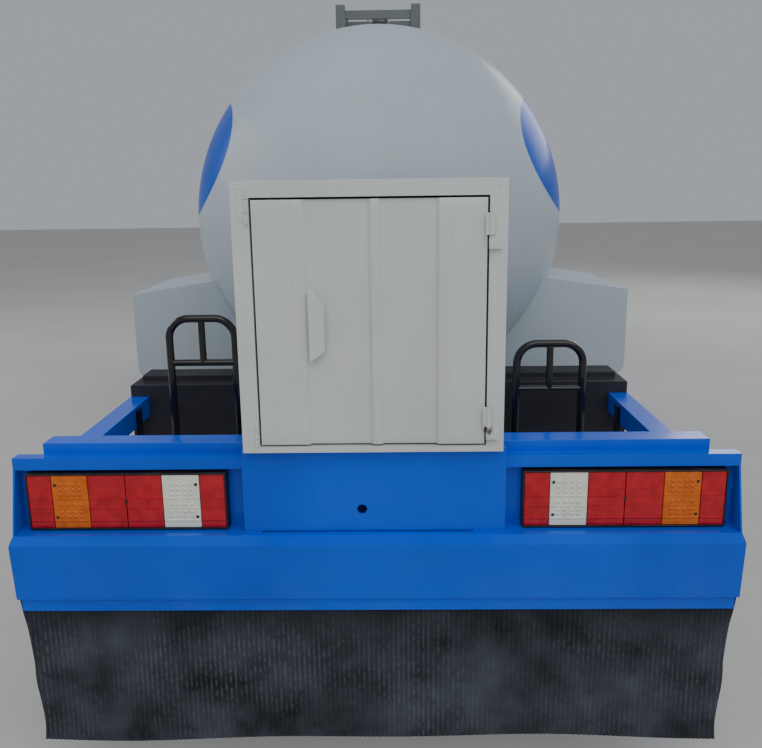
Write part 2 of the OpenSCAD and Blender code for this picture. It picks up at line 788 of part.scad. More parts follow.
module guard_hoops() {
  x0 = stringer_x + stringer_w;
  x1 = side_rail_x - side_rail_w;
  y0 = hoop_y - hoop_bar / 2;
  y1 = hoop_y + hoop_bar / 2;
  low = hoop_foot - hoop_bar;
  hang = 10;
  color("#101112") from_rear() {
    hoop(-hoop_x, deck_top + 331, deck_top + 160);
    hoop(hoop_x, deck_top + 230, deck_top + 54);
    // Bars under the hoops, hung from the deck's stringers and side rails
    both_sides() {
      box([x0, y0, low], [x1, y1, hoop_foot]);
      box([x0, y0, low], [x0 + hang, y1, deck_top - 10]);
      box([x1 - hang, y0, low], [x1, y1, deck_top - 10]);
    }
  }
}

module rear_cabinet() {
  y1 = cabinet_y + cabinet_d;
  z0 = deck_top;
  z1 = deck_top + cabinet_h;
  x = cabinet_x;
  t = cabinet_t;
  color("#d9dbd6") from_rear() {
    difference() {
      box([-x, cabinet_y, z0], [x, y1, z1]);
      box([-x + t, cabinet_y + cabinet_door_t + 6, z0 + t], [x - t, y1 - t, z1 - t]);
      box([-x + cabinet_frame, cabinet_y - 1, z0 + sill],
        [x - cabinet_frame, cabinet_y + 60, z1 - cabinet_frame + 4]);
      // Ways for the pipes to the tank
      for (p = pipe_places) along_y(y1 - t - 1, y1 + 1, p[0], deck_top + p[1], valve_pipe_r + 12);
    }
    // Fixed hinge barrels and their pins
    for (z = cabinet_hinge_zs) {
      along_z(z, z + 30, cabinet_hinge_x, cabinet_hinge_y, 8);
      along_z(z + 1, z + 90, cabinet_hinge_x, cabinet_hinge_y, 4);
      box([cabinet_hinge_x, cabinet_hinge_y - 2, z], [cabinet_hinge_x + 30, cabinet_y, z + 30]);
    }
  }
}

cabinet_hinge_zs = [deck_top + 40, deck_top + cabinet_h - 190];
valve_pipe_r = 30;
coupling_r = 25;
pipe_places = [[-170, 260], [0, 340], [170, 260]];

// Pipes from the tank's nozzles, each with a valve body and an open coupling
module cabinet_valves() {
  y0 = cabinet_y + 310;
  coupling_l = 60;
  color("#9aa0a4") from_rear() difference() {
    for (p = pipe_places) {
      z = deck_top + p[1];
      along_y(y0, nozzle_y, p[0], z, valve_pipe_r);
      along_y(y0 - coupling_l, y0 + 1, p[0], z, 44);
      along_y(y0 + 40, y0 + 120, p[0], z, 46);
      along_z(z, z + 90, p[0], y0 + 80, 20);
      along_z(z + 89, z + 105, p[0], y0 + 80, 55);
    }
    for (p = pipe_places) along_y(y0 - coupling_l - 1, y0 - 10, p[0], deck_top + p[1], coupling_r);
  }
}

module cabinet_door() {
  x0 = -cabinet_x + cabinet_frame + cabinet_door_gap;
  x1 = cabinet_x - cabinet_frame - cabinet_door_gap;
  z0 = deck_top + sill + cabinet_door_gap;
  z1 = deck_top + cabinet_h - cabinet_frame + 4 - cabinet_door_gap;
  pan = 10;
  color("#d9dbd6") from_rear() difference() {
    union() {
      difference() {
        box([x0, cabinet_y, z0], [x1, cabinet_y + cabinet_door_t, z1]);
        // Two pans with a rib between them
        box([-172, cabinet_y - 1, z0 + 16], [-8, cabinet_y + pan, z1 - 16]);
        box([8, cabinet_y - 1, z0 + 16], [180, cabinet_y + pan, z1 - 16]);
      }
      // Pull handle
      difference() {
        box([-184, cabinet_y - 17, deck_top + 282], [-130, cabinet_y + pan + 1, deck_top + 484]);
        box([-176, cabinet_y - 18, deck_top + 300], [-129, cabinet_y - 5, deck_top + 466]);
      }
      // Moving hinge barrels
      for (z = cabinet_hinge_zs) {
        along_z(z + 31, z + 100, cabinet_hinge_x, cabinet_hinge_y, 8);
        box([x1 - 20, cabinet_hinge_y - 3, z + 31], [cabinet_hinge_x, cabinet_hinge_y + 3, z + 100]);
        box([x1 - 20, cabinet_hinge_y - 3, z + 31], [x1, cabinet_y + 1, z + 100]);
      }
    }
    for (z = cabinet_hinge_zs) along_z(z + 30, z + 91, cabinet_hinge_x, cabinet_hinge_y, 4 + fit);
  }
}

// ---------------------------------------------------------------- cab

// Outer form of the cab, drawn in by i on every side
module cab_form(i) {
  screen_y = cab_front - i - screen_lean * (cab_h - 680);
  intersection() {
    plate_x(-cab_x + i, cab_x - i) polygon([
      [cab_rear + i, cab_z - 1], [cab_front - i, cab_z - 1], [cab_front - i, belt_z],
      [screen_y, cab_top - 80], [screen_y - 90, cab_top - i],
      [cab_rear + 60 + i / 2, cab_top - i], [cab_rear + i, cab_top - 60 - i / 2]]);
    plate_y(cab_rear, cab_front) polygon([
      [-cab_x + i, cab_z - 1], [cab_x - i, cab_z - 1], [cab_x - i, belt_z],
      [cab_x - i - roof_in, cab_top - 90], [cab_x - roof_in - 85 - i / 2, cab_top - i],
      [-cab_x + roof_in + 85 + i / 2, cab_top - i], [-cab_x + i + roof_in, cab_top - 90],
      [-cab_x + i, belt_z]]);
    translate([0, (cab_front + cab_rear) / 2]) plate_z(cab_z, cab_top)
      rounded_rect(cab_w - 2 * i, cab_l - 2 * i, 120 - i);
  }
}

screen_x = cab_x - 120;
screen_z0 = belt_z + 50;
screen_z1 = cab_top - 150;
rear_glass_x = 620;
rear_glass_z0 = belt_z + 60;
rear_glass_z1 = cab_top - 260;

module door_outline(g) {
  polygon([[door_rear + g, door_low + g], [door_front - g, door_low + g], [door_front - g, belt_z],
    [door_front - g - screen_lean * (door_high - belt_z), door_high - g], [door_rear + g, door_high - g]]);
}

module door_window(g) {
  z0 = belt_z + 40 + g;
  z1 = door_high - 80 - g;
  y = door_front - 90 - g;
  polygon([[door_rear + 90 + g, z0], [y, z0], [y - screen_lean * (z1 - belt_z), z1],
    [door_rear + 90 + g, z1]]);
}

module screen_hole(g) box([-screen_x + g, cab_front - 420, screen_z0 + g],
  [screen_x - g, cab_front + 1, screen_z1 - g]);
module rear_hole(g) box([-rear_glass_x + g, cab_rear - 1, rear_glass_z0 + g],
  [rear_glass_x - g, cab_rear + 200, rear_glass_z1 - g]);

mirror_y = door_front - 150;
door_hinge_zs = [door_low + 110, belt_z - 150];

module cab_shell() {
  color("#1f5fb4") from_rear() difference() {
    union() {
      difference() {
        cab_form(0);
        intersection() {
          cab_form(cab_wall);
          box([-cab_x, cab_rear, floor_z + floor_t], [cab_x, cab_front, cab_top]);
        }
        intersection() {
          cab_form(cab_wall);
          box([-cab_x, cab_rear, cab_z - 2], [cab_x, cab_front, floor_z]);
        }
        both_sides() plate_x(cab_x - cab_wall - 60, cab_x + 1) door_outline(0);
        screen_hole(0);
        rear_hole(0);
        // Space over the rails and the rear cab mounts
        box([-rail_x - 40, cab_rear - 1, cab_z - 2], [rail_x + 40, cab_rear + cab_wall + 40, floor_z]);
      }
      // Arms down to the tilt pivot
      both_sides() {
        plate_x(arm_x, arm_x + arm_t) polygon([[cab_front - 200, floor_z + 1],
          [cab_front - cab_wall, floor_z + 1], [pivot_y + arm_r - 4, pivot_z + 12],
          [pivot_y - arm_r + 4, pivot_z - 12]]);
        along_x(arm_x, arm_x + arm_t, pivot_y, pivot_z, arm_r);
      }
      // Fixed halves of the door hinges, with their pins
      both_sides() for (z = door_hinge_zs) {
        along_z(z, z + hinge_h / 2, hinge_x, door_front, hinge_r);
        along_z(z + 1, z + hinge_h - 5, hinge_x, door_front, hinge_pin_r);
        box([cab_x - 5, door_front, z], [hinge_x + 3, door_front + 50, z + hinge_h / 2]);
      }
    }
    both_sides() along_x(arm_x - 1, arm_x + arm_t + 1, pivot_y, pivot_z, tilt_pin_r + fit);
  }
}

module cab_glass() {
  color([0.35, 0.45, 0.5, 0.6]) from_rear() {
    intersection() {
      difference() {
        cab_form(20);
        cab_form(20 + glass_t);
      }
      union() {
        screen_hole(seat);
        rear_hole(seat);
      }
    }
  }
}

module door_form() {
  difference() {
    union() {
      difference() {
        intersection() {
          difference() {
            cab_form(0);
            cab_form(cab_wall);
          }
          plate_x(cab_x - cab_wall - roof_in - 70, cab_x + 1) door_outline(door_gap);
        }
        plate_x(cab_x - 300, cab_x + 1) door_window(0);
      }
      // Moving halves of the hinges
      for (z = door_hinge_zs) {
        along_z(z + hinge_h / 2 + 1, z + hinge_h, hinge_x, door_front, hinge_r);
        box([cab_x - 5, door_front - 60, z + hinge_h / 2 + 1], [hinge_x + 3, door_front, z + hinge_h]);
      }
      // Mirror on its two arms
      box([cab_x + 65, mirror_y - 24, belt_z + 130], [cab_x + 205, mirror_y + 24, belt_z + 500]);
      for (z = [belt_z + 20, belt_z + 560]) along_x(cab_x - roof_in - 30, cab_x + 135, mirror_y, z, 11);
      along_z(belt_z + 20, belt_z + 560, cab_x + 135, mirror_y, 11);
    }
    for (z = door_hinge_zs) along_z(z + hinge_h / 2, z + hinge_h - 4, hinge_x, door_front, hinge_pin_r + fit);
  }
}

module cab_door_right() color("#1f5fb4") from_rear() door_form();
module cab_door_left() color("#1f5fb4") from_rear() mirror([1, 0, 0]) door_form();

module door_glass_form() {
  intersection() {
    difference() {
      cab_form(20);
      cab_form(20 + glass_t);
    }
    plate_x(cab_x - 300, cab_x) door_window(seat);
  }
}

module door_glass_right() color([0.35, 0.45, 0.5, 0.6]) from_rear() door_glass_form();
module door_glass_left() color([0.35, 0.45, 0.5, 0.6]) from_rear() mirror([1, 0, 0]) door_glass_form();

wheel_x = -450;
wheel_y = cab_front - 560;
wheel_z = floor_z + 640;
column_tilt = 28;
column_r = 16;

module on_column() translate([wheel_x, wheel_y, wheel_z]) rotate([column_tilt, 0, 0]) children();

module dashboard() {
  x = cab_x - cab_wall - 65;
  y1 = cab_front - cab_wall;
  color("#3a3d40") from_rear() {
    plate_x(-x, x) polygon([[y1 - 300, floor_z + 260], [y1, floor_z + 200], [y1, belt_z - 10],
      [y1 - 120, belt_z - 10], [y1 - 330, belt_z - 60]]);
    on_column() {
      translate([0, 0, -330]) cylinder(h = 300, r = 35);
      translate([0, 0, -40]) cylinder(h = 58, r = column_r);
    }
  }
}

module steering_wheel() {
  rim = 205;
  color("#202224") from_rear() on_column() difference() {
    union() {
      rotate_extrude() translate([rim, 0]) circle(r = 15);
      translate([0, 0, -20]) cylinder(h = 46, r = 42);
      for (a = [90, 210, 330]) rotate([0, 0, a]) translate([30, -16, -8]) cube([rim - 30, 32, 12]);
    }
    translate([0, 0, -21]) cylinder(h = 40, r = column_r + fit);
  }
}

module seat_form(x, w) {
  y0 = cab_rear + cab_wall + 90;
  z0 = floor_z + floor_t;
  box([x - w / 2 + 40, y0 + 60, z0], [x + w / 2 - 40, y0 + 480, z0 + 180]);
  box([x - w / 2, y0 + 20, z0 + 180], [x + w / 2, y0 + 540, z0 + 320]);
  translate([x, 0, 0]) plate_x(-w / 2, w / 2)
    polygon([[y0 + 20, z0 + 300], [y0 + 150, z0 + 300], [y0 + 60, z0 + 880], [y0 - 60, z0 + 880]]);
}

module seats() {
  color("#4a4d52") from_rear() {
    seat_form(wheel_x, 540);
    seat_form(360, 900);
  }
}

frame_rails();
frame_fittings();
rear_apron();
tail_lamps();
mud_flap();
deck_frame();
cross_box();
guard_hoops();
rear_cabinet();
cabinet_valves();
side_fairings();
tank();
tank_saddles();
valve_guard();
top_valves();
rear_mudguards();
side_guards();
fuel_tank();
air_tanks();
battery_box();
exhaust();
drive_shaft();
rear_axle();
leaf_springs();
front_axle();
engine_block();
front_bumper();
headlamps();
front_mudguards();
cab_shell();
cab_glass();
dashboard();
seats();
steering_wheel();
cab_door_left();
cab_door_right();
door_glass_left();
door_glass_right();
knuckle_left();
knuckle_right();
tie_rod();
front_wheel_left();
front_wheel_right();
rear_wheels_left();
rear_wheels_right();
cabinet_door();
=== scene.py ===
"""Gas delivery tanker truck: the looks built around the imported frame."""
import math

import bmesh
import bpy
from mathutils import Matrix, Vector


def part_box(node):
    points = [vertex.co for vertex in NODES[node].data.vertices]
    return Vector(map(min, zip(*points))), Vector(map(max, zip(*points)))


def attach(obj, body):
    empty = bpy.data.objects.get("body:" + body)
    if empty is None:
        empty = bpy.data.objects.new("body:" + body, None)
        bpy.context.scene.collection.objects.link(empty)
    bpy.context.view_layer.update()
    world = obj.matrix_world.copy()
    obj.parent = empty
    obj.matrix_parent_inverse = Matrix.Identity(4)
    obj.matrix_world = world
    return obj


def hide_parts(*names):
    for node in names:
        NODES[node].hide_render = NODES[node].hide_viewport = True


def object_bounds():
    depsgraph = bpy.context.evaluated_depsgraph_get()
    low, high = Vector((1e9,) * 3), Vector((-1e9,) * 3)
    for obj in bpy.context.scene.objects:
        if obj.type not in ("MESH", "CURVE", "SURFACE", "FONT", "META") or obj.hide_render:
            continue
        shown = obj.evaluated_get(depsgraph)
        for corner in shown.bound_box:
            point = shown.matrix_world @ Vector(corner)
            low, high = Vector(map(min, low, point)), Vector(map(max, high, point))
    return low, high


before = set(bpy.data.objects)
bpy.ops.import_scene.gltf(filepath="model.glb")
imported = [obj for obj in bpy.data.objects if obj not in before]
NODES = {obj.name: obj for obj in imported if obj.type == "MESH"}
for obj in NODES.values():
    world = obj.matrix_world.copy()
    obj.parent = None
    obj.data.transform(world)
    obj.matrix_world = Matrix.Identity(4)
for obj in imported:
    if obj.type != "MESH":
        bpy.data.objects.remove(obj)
cad_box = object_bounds()
SIDES = (-1, 1)


# ---- node trees

def add(tree, kind, settings=None, inputs=()):
    """Adds one shader node and returns it. Inputs are values or sockets, by place in a list or by name."""
    made = tree.nodes.new("ShaderNode" + kind)
    for key, value in (settings or {}).items():
        setattr(made, key, value)
    pairs = inputs.items() if isinstance(inputs, dict) else enumerate(inputs)
    for key, value in pairs:
        if isinstance(value, bpy.types.NodeSocket):
            tree.links.new(value, made.inputs[key])
        elif value is not None:
            made.inputs[key].default_value = value
    return made


def math_node(tree, operation, *values):
    return add(tree, "Math", {"operation": operation}, list(values)).outputs[0]


def times(tree, one, two):
    return math_node(tree, "MULTIPLY", one, two)


def position(tree):
    """The place on the truck, in metres."""
    return add(tree, "TexCoord").outputs["Object"]


def noise(tree, scale, detail=4.0, stretch=None, rough=0.55):
    """Cloudy variation from 0 to 1; stretch squeezes the pattern along the axes."""
    where = position(tree)
    if stretch:
        where = add(tree, "Mapping", None, {"Vector": where, "Scale": stretch}).outputs[0]
    inputs = {"Vector": where, "Scale": scale, "Detail": detail, "Roughness": rough}
    return add(tree, "TexNoise", None, inputs).outputs["Fac"]


def spread(tree, value, low, high, to_low=0.0, to_high=1.0):
    """Stretches the part of a value between low and high over a new range, clamped."""
    return add(tree, "MapRange", None, [value, low, high, to_low, to_high]).outputs[0]


def cloud(tree, scale, detail, *span):
    """Noise with part of its range stretched, as spread does."""
    return spread(tree, noise(tree, scale, detail), *span)


def blend(tree, factor, one, two):
    """A colour between two colours."""
    made = tree.nodes.new("ShaderNodeMix")
    made.data_type = "RGBA"
    for socket, value in ((made.inputs[0], factor), (made.inputs[6], one), (made.inputs[7], two)):
        if isinstance(value, bpy.types.NodeSocket):
            tree.links.new(value, socket)
        elif isinstance(value, (int, float)):
            socket.default_value = value
        else:
            socket.default_value = (*value[:3], 1.0)
    return made.outputs[2]


def bump(tree, height, strength, distance, normal=None):
    """Turns a height pattern into a surface normal; distance is the height of the relief in metres."""
    inputs = {"Height": height, "Strength": strength, "Distance": distance}
    if normal is not None:
        inputs["Normal"] = normal
    return add(tree, "Bump", None, inputs).outputs[0]


def axis_value(tree, axis):
    """One coordinate of the place on the truck."""
    return add(tree, "SeparateXYZ", None, [position(tree)]).outputs["XYZ".index(axis)]


def shader(name, **constants):
    """A new material with its principled shader; constants are set on the shader's own sockets."""
    material = bpy.data.materials.new(name)
    material.use_nodes = True
    tree = material.node_tree
    surface = tree.nodes["Principled BSDF"]
    for key, value in constants.items():
        surface.inputs[key.replace("_", " ")].default_value = value
    return material, tree, surface


def connect(tree, surface, colour=None, roughness=None, normal=None):
    for name, value in (("Base Color", colour), ("Roughness", roughness), ("Normal", normal)):
        if value is not None:
            tree.links.new(value, surface.inputs[name])


# ---- materials

DUST = (0.34, 0.31, 0.27)


def paint(name, colour, dark, gloss=(0.18, 0.32), dust=0.35, dust_top=1.0, chips=0.0, coat=0.5, under=DUST):
    """Coach paint: slight colour drift, orange peel, road dust that thickens towards the ground, and chips."""
    material, tree, surface = shader(name, Coat_Weight=coat, Coat_Roughness=0.08, Specular_IOR_Level=0.25)
    drift = cloud(tree, 2.3, 5.0, 0.35, 0.7)
    base = blend(tree, drift, colour, dark)
    low = spread(tree, axis_value(tree, "Z"), 0.1, dust_top, 1.0, 0.0)
    film = cloud(tree, 7.0, 8.0, 0.38, 0.72)
    dirt = times(tree, times(tree, low, film), dust)
    base = blend(tree, dirt, base, DUST)
    rough = cloud(tree, 5.0, 6.0, 0.3, 0.75, *gloss)
    rough = math_node(tree, "ADD", rough, times(tree, dirt, 0.5))
    if chips:
        spots = spread(tree, noise(tree, 55.0, 6.0, rough=0.7), 0.74 - 0.1 * chips, 0.76 - 0.1 * chips)
        base = blend(tree, spots, base, under)
        rough = math_node(tree, "ADD", rough, times(tree, spots, 0.35))
    peel = bump(tree, noise(tree, 420.0, 2.0), 0.12, 0.0005)
    dents = bump(tree, noise(tree, 3.0, 2.0), 0.25, 0.004, peel)
    connect(tree, surface, base, rough, dents)
    return material


def tank_paint():
    """White gloss tank paint with a blue band along each side that ends in a round tongue on the rear head."""
    material, tree, surface = shader("tank_white", Coat_Weight=0.02, Coat_Roughness=0.12, Specular_IOR_Level=0.06)
    drift = cloud(tree, 1.6, 4.0, 0.3, 0.7)
    white = blend(tree, drift, (0.50, 0.575, 0.635), (0.435, 0.51, 0.57))
    streaks = spread(tree, noise(tree, 9.0, 6.0, stretch=(1.0, 1.0, 0.12)), 0.5, 0.8)
    white = blend(tree, times(tree, streaks, 0.25), white, (0.45, 0.44, 0.40))
    band_z, band_half, tongue, tongue_start = 2.035, 0.232, 0.33, 0.66
    tongue_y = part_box("tank")[0].y + tongue_start
    up = math_node(tree, "DIVIDE", math_node(tree, "SUBTRACT", axis_value(tree, "Z"), band_z), band_half)
    past = math_node(tree, "MINIMUM", math_node(tree, "SUBTRACT", axis_value(tree, "Y"), tongue_y), 0.0)
    back = math_node(tree, "DIVIDE", past, tongue)
    square = math_node(tree, "ADD", times(tree, up, up), times(tree, back, back))
    band = spread(tree, square, 0.98, 1.02, 1.0, 0.0)
    blue = blend(tree, drift, (0.0, 0.10, 0.62), (0.0, 0.075, 0.50))
    connect(
        tree, surface, blend(tree, band, white, blue),
        cloud(tree, 4.0, 5.0, 0.3, 0.75, 0.2, 0.34),
        bump(tree, noise(tree, 1.2, 1.0), 0.2, 0.01, bump(tree, noise(tree, 380.0, 2.0), 0.1, 0.0005)),
    )
    return material


def metal(name, colour, dark, rough=(0.28, 0.5), grain=(1.0, 1.0, 1.0), rust=0.0, dust=0.2):
    """Bare or thinly painted metal with grain, dirt and rust."""
    material, tree, surface = shader(name, Metallic=1.0 if rust < 0.5 else 0.35)
    base = blend(tree, spread(tree, noise(tree, 14.0, 7.0, stretch=grain), 0.35, 0.7), colour, dark)
    base = blend(tree, cloud(tree, 6.0, 8.0, 0.5, 0.8, 0.0, dust), base, DUST)
    if rust:
        brown = blend(tree, noise(tree, 60.0, 6.0), (0.16, 0.07, 0.03), (0.30, 0.14, 0.06))
        spots = spread(tree, noise(tree, 11.0, 8.0, rough=0.65), 0.62 - 0.25 * rust, 0.78 - 0.2 * rust)
        base = blend(tree, spots, base, brown)
    connect(
        tree, surface, base, spread(tree, noise(tree, 20.0, 6.0, stretch=grain), 0.3, 0.7, *rough),
        bump(tree, noise(tree, 160.0, 6.0, stretch=grain), 0.25, 0.001),
    )
    return material


def rubber(name, colour=(0.018, 0.018, 0.019), dust=0.5, dust_top=0.7):
    """Black rubber, dusty towards the ground."""
    material, tree, surface = shader(name, Specular_IOR_Level=0.15)
    patches = cloud(tree, 9.0, 8.0, 0.35, 0.75)
    low = spread(tree, axis_value(tree, "Z"), 0.15, dust_top, 1.0, 0.15)
    dirt = times(tree, times(tree, patches, low), dust)
    base = blend(tree, noise(tree, 40.0, 4.0), colour, tuple(1.6 * c for c in colour))
    connect(
        tree, surface, blend(tree, dirt, base, (0.23, 0.22, 0.20)), spread(tree, patches, 0.0, 1.0, 0.45, 0.85),
        bump(tree, noise(tree, 300.0, 5.0), 0.3, 0.0008),
    )
    return material


RIB_PITCH = 0.0155


def flap_rubber():
    """Black ribbed rubber: paler blue-grey towards the bottom, and paler grey on the crests of the ribs, most of
    all low down and in patches.
    """
    material, tree, surface = shader("flap_rubber", Specular_IOR_Level=0.15)
    phase = times(tree, axis_value(tree, "X"), math.pi / RIB_PITCH)
    crest = spread(tree, math_node(tree, "ABSOLUTE", math_node(tree, "SINE", phase)), 0.72, 0.98)
    low = spread(tree, axis_value(tree, "Z"), 0.52, 0.70, 1.0, 0.08)
    patch = cloud(tree, 3.2, 5.0, 0.42, 0.62, 0.15, 1.0)
    dashes = spread(tree, noise(tree, 60.0, 2.0, stretch=(1.0, 1.0, 0.9)), 0.38, 0.62)
    # Paler grey on the rib crests, strongest low down and in patches.
    crest_grey = times(tree, times(tree, crest, dashes), times(tree, low, patch))
    # Paler blue-grey towards the bottom of the flap.
    film = times(tree, cloud(tree, 4.5, 6.0, 0.35, 0.7), low)
    base = blend(tree, cloud(tree, 6.0, 5.0, 0.35, 0.7), (0.0095, 0.0125, 0.0175), (0.016, 0.021, 0.028))
    base = blend(tree, times(tree, film, 0.75), base, (0.098, 0.112, 0.135))
    base = blend(tree, times(tree, crest_grey, 0.42), base, (0.16, 0.178, 0.20))
    connect(
        tree, surface, base, cloud(tree, 25.0, 5.0, 0.3, 0.7, 0.5, 0.8),
        bump(tree, noise(tree, 260.0, 5.0), 0.35, 0.0008),
    )
    return material


def plastic(name, colour, rough=(0.35, 0.55)):
    """Grained moulded plastic."""
    material, tree, surface = shader(name)
    base = blend(tree, noise(tree, 5.0, 5.0), colour, tuple(0.75 * c for c in colour))
    base = blend(tree, cloud(tree, 10.0, 8.0, 0.5, 0.8, 0.0, 0.15), base, DUST)
    connect(
        tree, surface, base, cloud(tree, 30.0, 4.0, 0.3, 0.7, *rough),
        bump(tree, noise(tree, 500.0, 3.0), 0.35, 0.0006),
    )
    return material


def lens(name, colour, deep):
    """A moulded lamp lens: small prisms under a gloss skin, slightly uneven in colour."""
    material, tree, surface = shader(
        name, Coat_Weight=0.5, Coat_Roughness=0.05, IOR=1.49, Specular_IOR_Level=0.25,
    )
    base = blend(tree, cloud(tree, 30.0, 4.0, 0.3, 0.7), colour, deep)
    cells = add(tree, "TexVoronoi", None, {"Vector": position(tree), "Scale": 260.0}).outputs["Distance"]
    rough = cloud(tree, 12.0, 6.0, 0.3, 0.8, 0.12, 0.3)
    connect(tree, surface, base, rough, bump(tree, cells, 0.3, 0.0006))
    return material


def glass(name, tint, clear=0.92):
    """Laminated window glass with a faint film of dust."""
    material, tree, surface = shader(name, Transmission_Weight=clear, IOR=1.45)
    film = cloud(tree, 6.0, 8.0, 0.45, 0.85, 0.0, 0.18)
    connect(
        tree, surface, blend(tree, film, tint, DUST), cloud(tree, 9.0, 6.0, 0.4, 0.8, 0.02, 0.09),
        bump(tree, noise(tree, 2.0, 1.0), 0.1, 0.002),
    )
    return material


def cloth(name, colour, dark):
    """Woven seat cloth: two crossed sets of threads."""
    material, tree, surface = shader(name, Sheen_Weight=0.35, Sheen_Roughness=0.5)
    threads = []
    for side in ("X", "Z", "Y"):
        waves = {"Vector": position(tree), "Scale": 240.0, "Distortion": 1.5}
        threads.append(add(tree, "TexWave", {"bands_direction": side}, waves).outputs["Fac"])
    weave = math_node(tree, "MAXIMUM", math_node(tree, "MAXIMUM", threads[0], threads[1]), threads[2])
    base = blend(tree, weave, dark, colour)
    base = blend(tree, cloud(tree, 5.0, 6.0, 0.5, 0.8, 0.0, 0.3), base, dark)
    connect(tree, surface, base, spread(tree, weave, 0.0, 1.0, 0.75, 0.95), bump(tree, weave, 0.6, 0.001))
    return material


def cabinet_paint():
    """Cream cabinet paint with grey scuffs, small chips and a little rust at the lower hinge."""
    material, tree, surface = shader("cabinet_cream", Coat_Weight=0.1, Coat_Roughness=0.2, Specular_IOR_Level=0.3)
    drift = cloud(tree, 2.6, 5.0, 0.35, 0.7)
    base = blend(tree, drift, (0.70, 0.74, 0.71), (0.62, 0.67, 0.65))
    streaks = spread(tree, noise(tree, 8.0, 6.0, stretch=(1.0, 1.0, 0.15)), 0.55, 0.85, 0.0, 0.3)
    base = blend(tree, streaks, base, (0.56, 0.54, 0.48))
    chips = spread(tree, noise(tree, 38.0, 7.0, rough=0.75), 0.735, 0.745)
    base = blend(tree, chips, base, (0.16, 0.15, 0.14))
    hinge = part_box("cabinet_door")
    corner = Vector((hinge[1].x - 0.01, hinge[0].y + 0.01, hinge[0].z + 0.045))
    away = add(tree, "VectorMath", {"operation": "DISTANCE"}, [position(tree), corner]).outputs["Value"]
    ragged = math_node(tree, "ADD", away, cloud(tree, 55.0, 3.0, 0.3, 0.7, -0.006, 0.006))
    base = blend(tree, spread(tree, ragged, 0.008, 0.016, 0.9, 0.0), base, (0.10, 0.055, 0.032))
    connect(
        tree, surface, base, cloud(tree, 6.0, 6.0, 0.3, 0.75, 0.26, 0.42),
        bump(tree, noise(tree, 4.0, 3.0), 0.35, 0.004, bump(tree, noise(tree, 350.0, 3.0), 0.15, 0.0006)),
    )
    return material


FRAME_BLACK = paint("frame_black", (0.014, 0.014, 0.016), (0.022, 0.022, 0.024), (0.35, 0.6), 0.8, 1.2, 0.4, 0.1)
BLUE = paint("coach_blue", (0.0, 0.108, 0.80), (0.0, 0.085, 0.66), (0.16, 0.3), 0.12, 0.95, 0.25, 0.2)
CAB_BLUE = paint("cab_blue", (0.0, 0.108, 0.78), (0.0, 0.085, 0.66), (0.16, 0.28), 0.2, 1.3, 0.1, 0.25)
BOX_BLACK = paint("box_black", (0.034, 0.035, 0.044), (0.024, 0.025, 0.031), (0.5, 0.7), 0.25, 1.3, 0.3, 0.0)
TUBE_BLACK = paint("tube_black", (0.006, 0.006, 0.008), (0.012, 0.012, 0.014), (0.12, 0.26), 0.2, 1.4, 0.2, 0.7)
CREAM = cabinet_paint()
TANK_WHITE = tank_paint()
GREY = paint("guard_grey", (0.16, 0.18, 0.19), (0.11, 0.125, 0.13), (0.35, 0.55), 0.3, 1.5, 0.6, 0.2)
STEEL = metal("machined_steel", (0.42, 0.42, 0.42), (0.25, 0.25, 0.26), (0.25, 0.45))
ZINC = metal("zinc_bolts", (0.38, 0.38, 0.37), (0.2, 0.19, 0.18), (0.35, 0.6), rust=0.25)
ALUMINIUM = metal("brushed_aluminium", (0.55, 0.56, 0.57), (0.42, 0.43, 0.44), (0.25, 0.45), (1.0, 0.04, 1.0))
BROWN_IRON = metal("exhaust_brown", (0.17, 0.13, 0.1), (0.09, 0.07, 0.06), (0.45, 0.7), rust=0.7, dust=0.4)
CAST_IRON = paint(
    "cast_black", (0.02, 0.02, 0.022), (0.035, 0.033, 0.03), (0.5, 0.75), 0.9, 1.2, 0.5, 0.0, (0.14, 0.07, 0.04),
)
RIM_GREY = paint(
    "rim_grey", (0.30, 0.31, 0.32), (0.24, 0.25, 0.255), (0.3, 0.5), 0.7, 0.9, 0.5, 0.2, (0.16, 0.08, 0.04),
)
BLACK_PLASTIC = plastic("black_plastic", (0.018, 0.018, 0.019))
DASH = plastic("dash_plastic", (0.045, 0.046, 0.05), (0.5, 0.7))
FLAP = flap_rubber()
TYRE = rubber("tyre_rubber", (0.016, 0.016, 0.017), 0.7, 0.9)
SEAL = rubber("window_seal", (0.014, 0.014, 0.015), 0.15)
RED = lens("lens_red", (0.62, 0.008, 0.02), (0.42, 0.0, 0.01))
AMBER = lens("lens_amber", (0.80, 0.17, 0.004), (0.60, 0.11, 0.0))
CLEAR = lens("lens_clear", (0.90, 0.89, 0.76), (0.76, 0.76, 0.65))
WINDOW = glass("window_glass", (0.55, 0.66, 0.65))
LAMP_GLASS = glass("lamp_glass", (0.92, 0.95, 0.96), 0.97)
MIRROR = metal("mirror_silver", (0.85, 0.86, 0.87), (0.8, 0.81, 0.82), (0.03, 0.08), dust=0.05)
SEAT_CLOTH = cloth("seat_cloth", (0.10, 0.115, 0.14), (0.035, 0.04, 0.05))
DIAL = plastic("dial_face", (0.5, 0.51, 0.5), (0.3, 0.4))


# ---- mesh building

FOLD_ANGLE = 38.0

def block(bm, low, high):
    """A box between two corners."""
    spans = list(zip(low, high))
    spots = [bm.verts.new((x, y, z)) for x in spans[0] for y in spans[1] for z in spans[2]]
    for ids in ((0, 1, 3, 2), (4, 6, 7, 5), (0, 4, 5, 1), (2, 3, 7, 6), (0, 2, 6, 4), (1, 5, 7, 3)):
        bm.faces.new([spots[i] for i in ids])


